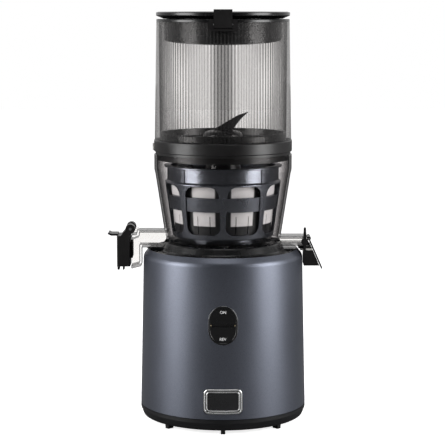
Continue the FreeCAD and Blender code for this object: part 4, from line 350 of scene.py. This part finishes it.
def clear_wall(name, tints, body, roughness, ripple=0.00002, painted_shade=None):
    """Clear plastic. What passes goes by tints from face on (0) to edge on (1); a painted shade, when given,
    dims and hazes it.
    """
    wires = Wires(name)
    facing = wires.add("LayerWeight", Blend=0.35)
    ripples = wires.bump(wires.noise(70.0, 2.0), ripple)
    wires.join(ripples, facing.inputs["Normal"])
    passed = wires.add("BsdfTransparent")
    tint = wires.ramp(facing.outputs["Facing"], tints)
    haze = 0.0
    # Painted shade, when given, dims and hazes the light that passes
    if painted_shade is not None:
        dim, haze = painted_shade(wires)
        tint = wires.scaled(tint, dim)
    wires.join(tint, passed.inputs["Color"])
    surface = wires.add("BsdfPrincipled", Roughness=roughness)
    drift = wires.noise(40.0, 3.0)
    wires.join(wires.mottled(drift, shade(body, 0.92), shade(body, 1.08)), surface.inputs["Base Color"])
    wires.join(ripples, surface.inputs["Normal"])
    amount = wires.add("MapRange", From_Min=0.0, From_Max=1.0, To_Min=0.02, To_Max=0.9)
    wires.join(wires.maths("POWER", facing.outputs["Facing"], 3.0), amount.inputs["Value"])
    mix = wires.add("MixShader")
    wires.join(wires.maths("MAXIMUM", amount.outputs["Result"], haze), mix.inputs["Fac"])
    wires.join(passed.outputs["BSDF"], mix.inputs[1])
    wires.join(surface.outputs["BSDF"], mix.inputs[2])
    return wires.finish(mix.outputs["Shader"])


def lamp_glow(name, colour, strength):
    wires = Wires(name)
    surface = wires.add("BsdfPrincipled", Roughness=0.2)
    surface.inputs["Emission Strength"].default_value = strength
    surface.inputs["Emission Color"].default_value = (*colour, 1.0)
    wires.join(wires.mottled(wires.noise(2000.0), shade(colour, 0.9), colour), surface.inputs["Base Color"])
    return wires.finish(surface.outputs["BSDF"])


# Geometry trees


def new_tree(name, inputs):
    """An empty geometry tree with named inputs, given as (name, socket type, default)."""
    tree = bpy.data.node_groups.new(name, "GeometryNodeTree")
    for label, kind, value in inputs:
        socket = tree.interface.new_socket(label, in_out="INPUT", socket_type="NodeSocket" + kind)
        if value is not None:
            socket.default_value = value
    tree.interface.new_socket("Geometry", in_out="OUTPUT", socket_type="NodeSocketGeometry")
    return tree


def flutes_tree():
    """Pushes the inside of a round wall inwards in evenly spaced upright ribs."""
    inputs = [("Geometry", "Geometry", None), ("Count", "Int", 120), ("Depth", "Float", 0.001),
              ("Inside Radius", "Float", 0.07), ("Bottom", "Float", 0.3), ("Top", "Float", 0.4),
              ("Material", "Material", None)]
    tree = new_tree("Upright Flutes", inputs)
    nodes, links = tree.nodes, tree.links
    given = nodes.new("NodeGroupInput")

    def maths(operation, first, second=0.0):
        node = nodes.new("ShaderNodeMath")
        node.operation = operation
        for socket, value in zip(node.inputs, (first, second)):
            if isinstance(value, (int, float)):
                socket.default_value = value
            else:
                links.new(value, socket)
        return node.outputs[0]

    parts = nodes.new("ShaderNodeSeparateXYZ")
    links.new(nodes.new("GeometryNodeInputPosition").outputs[0], parts.inputs[0])
    x, y, z = parts.outputs
    radius = maths("SQRT", maths("ADD", maths("MULTIPLY", x, x), maths("MULTIPLY", y, y)))
    inside = maths("LESS_THAN", radius, given.outputs["Inside Radius"])
    above = maths("GREATER_THAN", z, given.outputs["Bottom"])
    below = maths("LESS_THAN", z, given.outputs["Top"])
    chosen = maths("MULTIPLY", inside, maths("MULTIPLY", above, below))
    phase = maths("MULTIPLY", maths("ARCTAN2", y, x), maths("MULTIPLY", given.outputs["Count"], 0.5))
    rise = maths("MULTIPLY", maths("ABSOLUTE", maths("COSINE", phase)), given.outputs["Depth"])
    shrink = maths("DIVIDE", maths("MULTIPLY", rise, chosen), maths("MULTIPLY", radius, -1.0))
    push = nodes.new("ShaderNodeCombineXYZ")
    links.new(maths("MULTIPLY", x, shrink), push.inputs["X"])
    links.new(maths("MULTIPLY", y, shrink), push.inputs["Y"])
    moved = nodes.new("GeometryNodeSetPosition")
    links.new(given.outputs["Geometry"], moved.inputs["Geometry"])
    links.new(push.outputs[0], moved.inputs["Offset"])
    finish_tree(tree, moved.outputs["Geometry"], given.outputs["Material"])
    return tree


def finish_tree(tree, geometry, material):
    """Ends a tree in Realize Instances and Set Material."""
    real = tree.nodes.new("GeometryNodeRealizeInstances")
    painted = tree.nodes.new("GeometryNodeSetMaterial")
    output = tree.nodes.new("NodeGroupOutput")
    tree.links.new(geometry, real.inputs["Geometry"])
    tree.links.new(real.outputs["Geometry"], painted.inputs["Geometry"])
    tree.links.new(material, painted.inputs["Material"])
    tree.links.new(painted.outputs["Geometry"], output.inputs[0])


def grown(mesh, tree, values):
    """Passes a mesh through a geometry tree with the given input values and keeps the plain result."""
    name = mesh.name
    mesh.name = name + "_blank"
    blank = new_mesh_object(mesh.name, mesh)
    modifier = blank.modifiers.new("Tree", "NODES")
    modifier.node_group = tree
    for item in tree.interface.items_tree:
        if item.in_out == "INPUT" and item.name in values:
            modifier[item.identifier] = values[item.name]
    bpy.context.view_layer.update()
    depsgraph = bpy.context.evaluated_depsgraph_get()
    result = bpy.data.meshes.new_from_object(blank.evaluated_get(depsgraph), depsgraph=depsgraph)
    blank.modifiers.remove(modifier)
    bpy.data.objects.remove(blank)
    result.name = name
    for face in result.polygons:
        face.use_smooth = True
    return new_mesh_object(name, result)


def turned_mesh(name, profile, columns):
    """A closed outline of (radius, height) points turned around the Z axis, with its faces outwards."""
    points = []
    faces = []
    rows = len(profile)
    for column in range(columns):
        angle = 2 * math.pi * column / columns
        points += [(r * math.cos(angle), r * math.sin(angle), z) for r, z in profile]
        near = column * rows
        far = (column + 1) % columns * rows
        for row in range(rows):
            above = (row + 1) % rows
            faces.append((near + row, far + row, far + above, near + above))
    mesh = bpy.data.meshes.new(name)
    mesh.from_pydata(points, [], faces)
    mesh.update()
    return mesh


# Base


BASE_FINISHES = {
    "black_moulding": ["base_cover"],
    "gloss_black": ["top_deck"],
    "soft_pad": ["rubber_feet", "shaft_seal", "cord_gland"],
    "fastener": ["cover_screws"],
    "dark_chrome": ["badge_frame"],
    "badge_face": ["badge_plate"],
}


def shared(name):
    """The finishes that several pieces use, each made once."""
    if name in bpy.data.materials:
        return bpy.data.materials[name]
    makers = {
        "black_moulding": lambda: moulded(name, (0.006, 0.006, 0.007), 0.5, depth=0.00003, shine=0.3),
        "gloss_black": lambda: moulded(name, (0.003, 0.003, 0.0034), 0.27, 700.0, 0.000006),
        "satin_black": lambda: moulded(name, (0.009, 0.0085, 0.0088), 0.36, 3000.0, 0.00003, 0.4),
        "soft_pad": lambda: moulded(name, (0.008, 0.008, 0.008), 0.75, 1500.0, 0.00005, 0.3),
        "pale_seal": lambda: moulded(name, (0.62, 0.61, 0.58), 0.6, 1500.0, 0.00003),
        "fastener": lambda: worked_metal(name, (0.42, 0.42, 0.43), 0.35),
        "spring_steel": lambda: worked_metal(name, (0.55, 0.55, 0.56), 0.25),
        "turned_steel": lambda: worked_metal(name, (0.58, 0.58, 0.59), 0.22, stretch=(1, 1, 12)),
        "bright_frame": lambda: worked_metal(name, (0.88, 0.88, 0.88), 0.30),
        "badge_face": lambda: moulded(name, (0.012, 0.012, 0.013), 0.3, 1200.0, 0.00001),
        "dark_chrome": lambda: worked_metal(name, (0.30, 0.30, 0.31), 0.14, stretch=(8, 8, 1)),
        "pale_moulding": lambda: moulded(name, (0.60, 0.58, 0.52), 0.45),
    }
    return makers[name]()


def springy(node, body):
    """A copy of a spring's CAD node in spring steel, attached to a body in place of the node."""
    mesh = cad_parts[node].data.copy()
    mesh.transform(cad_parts[node].matrix_world)
    mesh.materials.clear()
    mesh.materials.append(shared("spring_steel"))
    piece = new_mesh_object(node + "_coil", mesh)
    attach(piece, body)
    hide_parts(node)
    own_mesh(piece)


def wall_radius(z):
    """Radius of the painted wall at a height."""
    return WALL_FOOT_R - (z - WALL_FOOT_Z) * WALL_SLOPE


def loop_points(half_width, half_height, corner):
    """A rounded rectangle around the origin, or a capsule where the corner equals the half width."""
    points = []
    for turn, side_x, side_z in ((0, 1, 1), (1, -1, 1), (2, -1, -1), (3, 1, -1)):
        for step in range(CORNER_STEPS + 1):
            angle = (turn + step / CORNER_STEPS) * math.pi / 2
            x = side_x * (half_width - corner) + corner * math.cos(angle)
            z = side_z * (half_height - corner) + corner * math.sin(angle)
            points.append((x, z))
    outline = []
    for before, after in zip(points, points[1:] + points[:1]):
        count = math.ceil(math.dist(before, after) / LOOP_STEP - 0.01)
        for step in range(count):
            share = step / count
            x = before[0] + (after[0] - before[0]) * share
            z = before[1] + (after[1] - before[1]) * share
            outline.append((x, z))
    return outline


def wall_loop(name, half_width, half_height, corner, centre_z, thickness, proud, material):
    """A round bead of that radius that follows a closed outline on the front of the body."""
    outline = loop_points(half_width, half_height, corner)
    points, faces = [], []
    count = len(outline)
    for index, (x, z) in enumerate(outline):
        before, after = outline[index - 1], outline[(index + 1) % count]
        along = Vector((after[0] - before[0], after[1] - before[1])).normalized()
        across = Vector((along.y, -along.x))
        for step in range(BEAD_STEPS):
            angle = 2 * math.pi * step / BEAD_STEPS
            side, out = thickness * math.cos(angle), thickness * math.sin(angle)
            px, pz = x + across.x * side, centre_z + z + across.y * side
            points.append((px, -math.sqrt((wall_radius(pz) + proud) ** 2 - px ** 2) - out, pz))
    for index in range(count):
        near, far = index * BEAD_STEPS, (index + 1) % count * BEAD_STEPS
        for step in range(BEAD_STEPS):
            beside = (step + 1) % BEAD_STEPS
            faces.append((near + step, near + beside, far + beside, far + step))
    mesh = bpy.data.meshes.new(name)
    mesh.from_pydata(points, [], faces)
    mesh.materials.append(material)
    for face in mesh.polygons:
        face.use_smooth = True
    bead = new_mesh_object(name, mesh)
    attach(bead, "base")
    return bead


def wall_loops(node, beads, corner_inside):
    """The beads round a CAD node; corner_inside gives a bead's corner from the half width and its inset."""
    low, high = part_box(node)
    half_width, half_height = (high[0] - low[0]) / 2, (high[2] - low[2]) / 2
    centre_z = (high[2] + low[2]) / 2
    made = []
    for name, inset, thickness, proud, finish in beads:
        made.append(wall_loop(name, half_width - inset, half_height - inset, corner_inside(half_width, inset),
                              centre_z, thickness, proud, shared(finish)))
    return made


class JUICER_OT_base(bpy.types.Operator):
    """Paint the body and finish the cover, deck, feet, badge and cord entry"""
    bl_idname = "juicer.base"
    bl_label = "Base"

    def execute(self, context):
        settings = context.scene.juicer_base
        paint = metallic_paint(
            "slate_paint", tuple(settings.paint), settings.paint_roughness, settings.flake_size)
        dress("body_shell", paint)
        for finish, nodes in BASE_FINISHES.items():
            for node in nodes:
                dress(node, shared(finish))
        beads = wall_loops("badge_frame", BADGE_BEADS,
                           lambda half_width, inset: BADGE_CORNER - inset * CORNER_SHRINK)
        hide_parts("badge_frame")
        return {"FINISHED"}


# Controls


def printed_word(text, node, body, centre_z, height, lift):
    """Letters laid on the curved front of a button."""
    name = text.lower() + "_word"
    curve = bpy.data.curves.new(name, "FONT")
    curve.body = text
    curve.align_x = "CENTER"
    curve.align_y = "CENTER"
    curve.size = height / CAPITAL_SHARE
    curve.offset = height * INK_SPREAD
    word = bpy.data.objects.new(name, curve)
    bpy.context.scene.collection.objects.link(word)
    bpy.context.view_layer.update()
    depsgraph = bpy.context.evaluated_depsgraph_get()
    mesh = bpy.data.meshes.new_from_object(word.evaluated_get(depsgraph), depsgraph=depsgraph)
    bpy.data.objects.remove(word)
    _, front_y, low_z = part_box(node)[0]
    middle_x = (min(v.co.x for v in mesh.vertices) + max(v.co.x for v in mesh.vertices)) / 2
    for vertex in mesh.vertices:
        x = vertex.co.x - middle_x
        z = centre_z + vertex.co.y
        wall = -front_y - (z - low_z) * math.tan(BUTTON_LEAN)
        vertex.co = (x, -math.sqrt(wall ** 2 - x ** 2) - lift, z)
    mesh.name = name
    word = new_mesh_object(name, mesh)
    word.data.materials.clear()
    # The print is real white ink; its faint glow is painted light
    word.data.materials.append(lamp_glow(name + "_ink_painted_glow", (0.85, 0.85, 0.85), 0.12))
    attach(word, body)


class JUICER_OT_controls(bpy.types.Operator):
    """Finish the two buttons, print their words and light the two lamps"""
    bl_idname = "juicer.controls"
    bl_label = "Controls"

    def execute(self, context):
        settings = context.scene.juicer_base
        dress("button_bezel", shared("dark_chrome"))
        for node in ("button_guide", "on_button", "rev_button"):
            dress(node, shared("gloss_black"))
        dress("indicator_lights", lamp_glow("lamp_lens", (0.8, 0.66, 0.42), 0.25))
        wall_loops("button_bezel", BEZEL_BEADS, lambda half_width, inset: half_width - inset)
        springy("on_button_spring", "base")
        springy("rev_button_spring", "base")
        dress("switch_board", moulded("green_laminate", (0.02, 0.10, 0.05), 0.4))
        printed_word("ON", "on_button", "on_key", ON_WORD_Z, settings.word_height, settings.word_lift)
        printed_word("REV", "rev_button", "rev_key", REV_WORD_Z, settings.word_height, settings.word_lift)
        return {"FINISHED"}


# Motor and gears


class JUICER_OT_drive(bpy.types.Operator):
    """Finish the motor, the gear train and the control board"""
    bl_idname = "juicer.drive"
    bl_label = "Motor and Gears"

    def execute(self, context):
        for node in ("motor_can", "motor_bracket"):
            dress(node, worked_metal(node + "_plating", (0.46, 0.47, 0.48), 0.38))
        for node in ("motor_shaft", "motor_bearings", "drive_shaft", "shaft_bearing"):
            dress(node, shared("turned_steel"))
        dress("gearbox_screws", shared("fastener"))
        laminated = worked_metal("laminations", (0.30, 0.30, 0.31), 0.4, stretch=(0.3, 0.3, 4), depth=0.00005)
        for node in ("stator", "rotor"):
            dress(node, laminated)
        copper = worked_metal("wound_copper", (0.62, 0.27, 0.12), 0.35, stretch=(1, 1, 3), depth=0.0002)
        dress("windings", copper)
        for node in ("compound_gear", "output_gear"):
            dress(node, shared("pale_moulding"))
        dress("cooling_fan", shared("black_moulding"))
        for node in ("gearbox_base", "gearbox_case"):
            dress(node, moulded(node + "_moulding", (0.16, 0.16, 0.17), 0.5, depth=0.00005))
        dress("circuit_board", moulded("board_laminate", (0.03, 0.12, 0.06), 0.4))
        return {"FINISHED"}


# Bowl


class JUICER_OT_bowl(bpy.types.Operator):
    """Finish the clear bowl, its spouts, the cap, the pulp flap and the lever"""
    bl_idname = "juicer.bowl"
    bl_label = "Bowl and Spouts"

    def execute(self, context):
        tints = [(0.0, (0.95, 0.945, 0.94)), (0.3, (0.92, 0.91, 0.91)), (0.6, (0.55, 0.54, 0.54)),
                 (0.8, (0.25, 0.25, 0.25))]
        clear = clear_wall("clear_bowl", tints, (0.03, 0.031, 0.033), 0.10, ripple=0.000006)
        dress("juice_bowl", clear)
        for node in ("juice_cap", "pulp_chute", "pulp_flap", "pulp_lever"):
            dress(node, shared("satin_black"))
        for node in ("cap_pad", "bowl_seal", "pulp_gasket"):
            dress(node, shared("soft_pad"))
        dress("chute_trim", shared("pale_seal"))
        dress("spout_pins", shared("turned_steel"))
        return {"FINISHED"}


# Strainer and screw


def screen_liner():
    """A liner with two rows of pale screen panels, one to each window of the frame, and dark elsewhere."""
    wires = Wires("screen_liner")
    from_middle = wires.around_axis(WINDOW_COUNT, 0.5)
    beside = wires.add("MapRange", From_Min=PANEL_SHARE - 0.03, From_Max=PANEL_SHARE + 0.03,
                       To_Min=1.0, To_Max=0.0)
    wires.join(from_middle, beside.inputs["Value"])
    height = wires.axes()[2]
    rows = wires.maths("ADD", *[wires.within(height, low, high, 0.0004) for low, high in PANEL_ROWS])
    panel = wires.maths("MULTIPLY", beside.outputs["Result"], rows)
    mesh = wires.add("TexVoronoi", Scale=1300.0)
    wires.join(wires.object_point(), mesh.inputs["Vector"])
    pale = wires.mottled(wires.noise(90.0, 3.0), (0.78, 0.765, 0.77), (0.86, 0.845, 0.85))
    # Dark at the sides of each window and in a band below the lower panels; that band is painted shade for a
    # dark reflection of the bowl's base
    dark = wires.mottled(wires.noise(90.0, 3.0), (0.010, 0.0105, 0.012), (0.013, 0.0135, 0.015))
    mix = wires.add("Mix", data_type="RGBA")
    wires.join(panel, mix.inputs["Factor"])
    wires.join(dark, mix.inputs[6])
    wires.join(pale, mix.inputs[7])
    surface = wires.add("BsdfPrincipled", Roughness=0.4)
    surface.inputs["Specular IOR Level"].default_value = 0.35
    wires.join(mix.outputs[2], surface.inputs["Base Color"])
    wires.join(wires.bump(mesh.outputs["Distance"], 0.00004), surface.inputs["Normal"])
    return wires.finish(surface.outputs["BSDF"])


class JUICER_OT_strainer(bpy.types.Operator):
    """Finish the strainer's frame and its pale liner"""
    bl_idname = "juicer.strainer"
    bl_label = "Strainer"

    def execute(self, context):
        dress("strainer_frame", metallic_paint("grey_frame", (0.150, 0.160, 0.185), 0.26, 0.0004))
        dress("fine_strainer", screen_liner())
        return {"FINISHED"}


class JUICER_OT_screw(bpy.types.Operator):
    """Finish the auger, its socket and the cutting wing"""
    bl_idname = "juicer.screw"
    bl_label = "Auger"

    def execute(self, context):
        grey = moulded("screw_resin", (0.012, 0.012, 0.013), 0.28, depth=0.00002)
        for node in ("auger", "cutting_wing"):
            dress(node, grey)
        dress("auger_socket", shared("turned_steel"))
        return {"FINISHED"}


# Hopper and lid


def hopper_blank(settings):
    """The hopper's wall and spigot, with columns fine enough to carry the ribs."""
    low_corner, high_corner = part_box("hopper")
    low_z, top_z = low_corner[2], high_corner[2]
    wide_r = high_corner[0]
    top_r = wide_r - HOPPER_TAPER
    spigot_r = wide_r - SPIGOT_STEP
    shoulder_z = low_z + SPIGOT_HEIGHT
    inner_low, inner_top = spigot_r - HOPPER_WALL, top_r - HOPPER_WALL
    profile = [
        (inner_low, low_z), (spigot_r, low_z), (spigot_r, shoulder_z), (wide_r, shoulder_z), (top_r, top_z),
        (inner_top, top_z), (inner_top, settings.rib_top + RIB_END), (inner_top, settings.rib_top - RIB_END),
        (inner_low, settings.rib_bottom + RIB_END), (inner_low, settings.rib_bottom - RIB_END),
    ]
    return turned_mesh("ribbed_hopper", profile, settings.rib_count * COLUMNS_PER_RIB)


def rib_and_middle_painted_shade(settings):
    """Painted shade: darkens the hopper between its ribs and down its middle, standing in for dark
    refractions and reflections.
    """

    def painted_shade(wires):
        from_rib = wires.around_axis(settings.rib_count)
        valley = wires.add("MapRange", From_Min=0.62, From_Max=1.0, To_Min=1.0, To_Max=settings.valley_painted_shade)
        wires.join(from_rib, valley.inputs["Value"])
        across = wires.maths("ABSOLUTE", wires.axes()[0])
        middle = wires.add("MapRange", interpolation_type="SMOOTHSTEP",
                           From_Min=0.003, From_Max=0.017, To_Min=settings.middle_painted_shade, To_Max=1.0)
        wires.join(across, middle.inputs["Value"])
        haze = wires.add("MapRange", From_Min=0.35, From_Max=0.75, To_Min=0.0, To_Max=settings.valley_painted_haze)
        wires.join(from_rib, haze.inputs["Value"])
        dim = wires.maths("MULTIPLY", valley.outputs["Result"], middle.outputs["Result"])
        return dim, haze.outputs["Result"]

    return painted_shade


class JUICER_OT_hopper(bpy.types.Operator):
    """Mould the ribbed hopper wall and finish the hopper's ring, floor and tab"""
    bl_idname = "juicer.hopper"
    bl_label = "Hopper"

    def execute(self, context):
        settings = context.scene.juicer_hopper
        smoke = tuple(settings.smoke)
        grey = (0.30, 0.295, 0.295)
        tints = [(0.0, smoke), (0.12, smoke), (0.24, shade(smoke, 0.91)), (0.34, shade(smoke, 0.80)),
                 (0.6, shade(smoke, 0.66))]
        values = {
            "Count": settings.rib_count, "Depth": settings.rib_depth,
            "Inside Radius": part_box("hopper")[1][0] - HOPPER_TAPER - HOPPER_WALL / 2,
            "Bottom": settings.rib_bottom, "Top": settings.rib_top,
            # The smoky wall also carries painted shade between its ribs and down its middle
            "Material": clear_wall("smoky_wall_painted_shade", tints, grey, 0.16, painted_shade=rib_and_middle_painted_shade(settings)),
        }
        wall = grown(hopper_blank(settings), flutes_tree(), values)
        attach(wall, "hopper_group")
        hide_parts("hopper")
        dress("hopper_ring", shared("satin_black"))
        dress("hopper_floor", shared("gloss_black"))
        dress("index_tab", shared("pale_seal"))
        return {"FINISHED"}


class JUICER_OT_lid(bpy.types.Operator):
    """Finish the rim, the lid, its hinge and its latch"""
    bl_idname = "juicer.lid"
    bl_label = "Lid and Latch"

    def execute(self, context):
        for node in ("hopper_collar", "lid"):
            dress(node, shared("gloss_black"))
        for node in ("latch_housing", "latch"):
            dress(node, shared("satin_black"))
        for node in ("lid_pin", "latch_pin"):
            dress(node, shared("turned_steel"))
        springy("latch_spring", "hopper_group")
        dress("lid_gasket", shared("soft_pad"))
        return {"FINISHED"}


# Stage


def area_lamp(name, power, size, place):
    data = bpy.data.lights.new(name, "AREA")
    data.shape = "RECTANGLE"
    data.size, data.size_y = size
    data.energy = power
    lamp = bpy.data.objects.new(name, data)
    lamp.location = place
    lamp.rotation_euler = (Vector(LAMP_AIM) - Vector(place)).to_track_quat("-Z", "Y").to_euler()
    bpy.context.scene.collection.objects.link(lamp)


def white_world(front, behind):
    """White to the camera; the light on the object comes more from behind than from the front."""
    world = bpy.data.worlds.new("studio")
    bpy.context.scene.world = world
    world.use_nodes = True
    nodes, links = world.node_tree.nodes, world.node_tree.links
    nodes.clear()

    def larger(first, second):
        node = nodes.new("ShaderNodeMath")
        node.operation = "MAXIMUM"
        links.new(first, node.inputs[0])
        links.new(second, node.inputs[1])
        return node.outputs[0]

    direction = nodes.new("ShaderNodeTexCoord")
    parts = nodes.new("ShaderNodeSeparateXYZ")
    links.new(direction.outputs["Generated"], parts.inputs["Vector"])
    level = nodes.new("ShaderNodeMapRange")
    level.interpolation_type = "SMOOTHSTEP"
    for label, value in (("From Min", -0.35), ("From Max", 0.98), ("To Min", front), ("To Max", behind)):
        level.inputs[label].default_value = value
    links.new(parts.outputs["Y"], level.inputs["Value"])
    rays = nodes.new("ShaderNodeLightPath")
    backdrop = larger(rays.outputs["Is Camera Ray"], rays.outputs["Is Transmission Ray"])
    mirrored = nodes.new("ShaderNodeMath")
    mirrored.operation = "MULTIPLY"
    links.new(rays.outputs["Is Glossy Ray"], mirrored.inputs[0])
    links.new(level.outputs["Result"], mirrored.inputs[1])
    strength = larger(larger(backdrop, mirrored.outputs[0]), level.outputs["Result"])
    white = nodes.new("ShaderNodeBackground")
    white.inputs["Color"].default_value = (1.0, 1.0, 1.0, 1.0)
    output = nodes.new("ShaderNodeOutputWorld")
    links.new(strength, white.inputs["Strength"])
    links.new(white.outputs[0], output.inputs["Surface"])


def pale_floor():
    """White to the camera with the object's shadow on it, and grey paper to everything else."""
    mesh = bpy.data.meshes.new("floor")
    corners = [(x * FLOOR_REACH, y * FLOOR_REACH, 0) for x, y in ((-1, -1), (1, -1), (1, 1), (-1, 1))]
    mesh.from_pydata(corners, [], [(0, 1, 2, 3)])
    floor = new_mesh_object("floor", mesh)
    wires = Wires("floor_paper")
    white = wires.add("BsdfDiffuse")
    wires.join(wires.mottled(wires.noise(8.0), (0.90, 0.90, 0.90), (0.93, 0.93, 0.93)), white.inputs["Color"])
    glow = wires.add("Emission", Strength=FLOOR_GLOW)
    seen = wires.add("AddShader")
    wires.join(white.outputs["BSDF"], seen.inputs[0])
    wires.join(glow.outputs["Emission"], seen.inputs[1])
    grey = wires.add("BsdfDiffuse")
    wires.join(wires.mottled(wires.noise(8.0), (0.20, 0.20, 0.20), (0.24, 0.24, 0.24)), grey.inputs["Color"])
    rays = wires.add("LightPath")
    mix = wires.add("MixShader")
    wires.join(rays.outputs["Is Camera Ray"], mix.inputs["Fac"])
    wires.join(grey.outputs["BSDF"], mix.inputs[1])
    wires.join(seen.outputs["Shader"], mix.inputs[2])
    floor.data.materials.append(wires.finish(mix.outputs["Shader"]))


class JUICER_OT_stage(bpy.types.Operator):
    """Set the camera, the floor, the white backdrop and the lamps"""
    bl_idname = "juicer.stage"
    bl_label = "Stage"

    def execute(self, context):
        settings = context.scene.juicer_stage
        data = bpy.data.cameras.new("camera")
        data.lens = settings.lens
        data.sensor_width = 36.0
        camera = bpy.data.objects.new("camera", data)
        place = Vector((MIDDLE_X, -settings.distance, settings.height))
        camera.location = place
        camera.rotation_euler = (Vector((MIDDLE_X, 0, AIM_Z)) - place).to_track_quat("-Z", "Y").to_euler()
        context.scene.collection.objects.link(camera)
        context.scene.camera = camera
        white_world(LIGHT_IN_FRONT, LIGHT_BEHIND)
        pale_floor()
        out, front_y, z = SIDE_BOX_PLACE
        for side in (-1, 1):
            area_lamp("side_box", settings.softbox, SIDE_BOX_SIZE, (side * out, front_y, z))
        area_lamp("top_box", settings.fill, TOP_BOX_SIZE, TOP_BOX_PLACE)
        context.scene.view_settings.view_transform = "Standard"
        return {"FINISHED"}


OPERATORS = [
    JUICER_OT_stage, JUICER_OT_base, JUICER_OT_controls, JUICER_OT_drive, JUICER_OT_bowl,
    JUICER_OT_strainer, JUICER_OT_screw, JUICER_OT_hopper, JUICER_OT_lid,
]
SETTINGS = {"juicer_base": BaseSettings, "juicer_hopper": HopperSettings, "juicer_stage": StageSettings}


class JUICER_PT_panel(bpy.types.Panel):
    """The juicer's pieces and their settings"""
    bl_label = "Juicer"
    bl_idname = "JUICER_PT_panel"
    bl_space_type = "VIEW_3D"
    bl_region_type = "UI"
    bl_category = "Juicer"

    def draw(self, context):
        for group in SETTINGS:
            values = getattr(context.scene, group)
            for name in values.__annotations__:
                self.layout.prop(values, name)
        for operator in OPERATORS:
            self.layout.operator(operator.bl_idname)


CLASSES = list(SETTINGS.values()) + OPERATORS + [JUICER_PT_panel]


def register():
    for cls in CLASSES:
        bpy.utils.register_class(cls)
    for name, group in SETTINGS.items():
        setattr(bpy.types.Scene, name, bpy.props.PointerProperty(type=group))


def unregister():
    for name in SETTINGS:
        delattr(bpy.types.Scene, name)
    for cls in reversed(CLASSES):
        bpy.utils.unregister_class(cls)


def main():
    register()
    for operator in OPERATORS:
        group, name = operator.bl_idname.split(".")
        getattr(getattr(bpy.ops, group), name)()


if __name__ == "__main__":
    main()
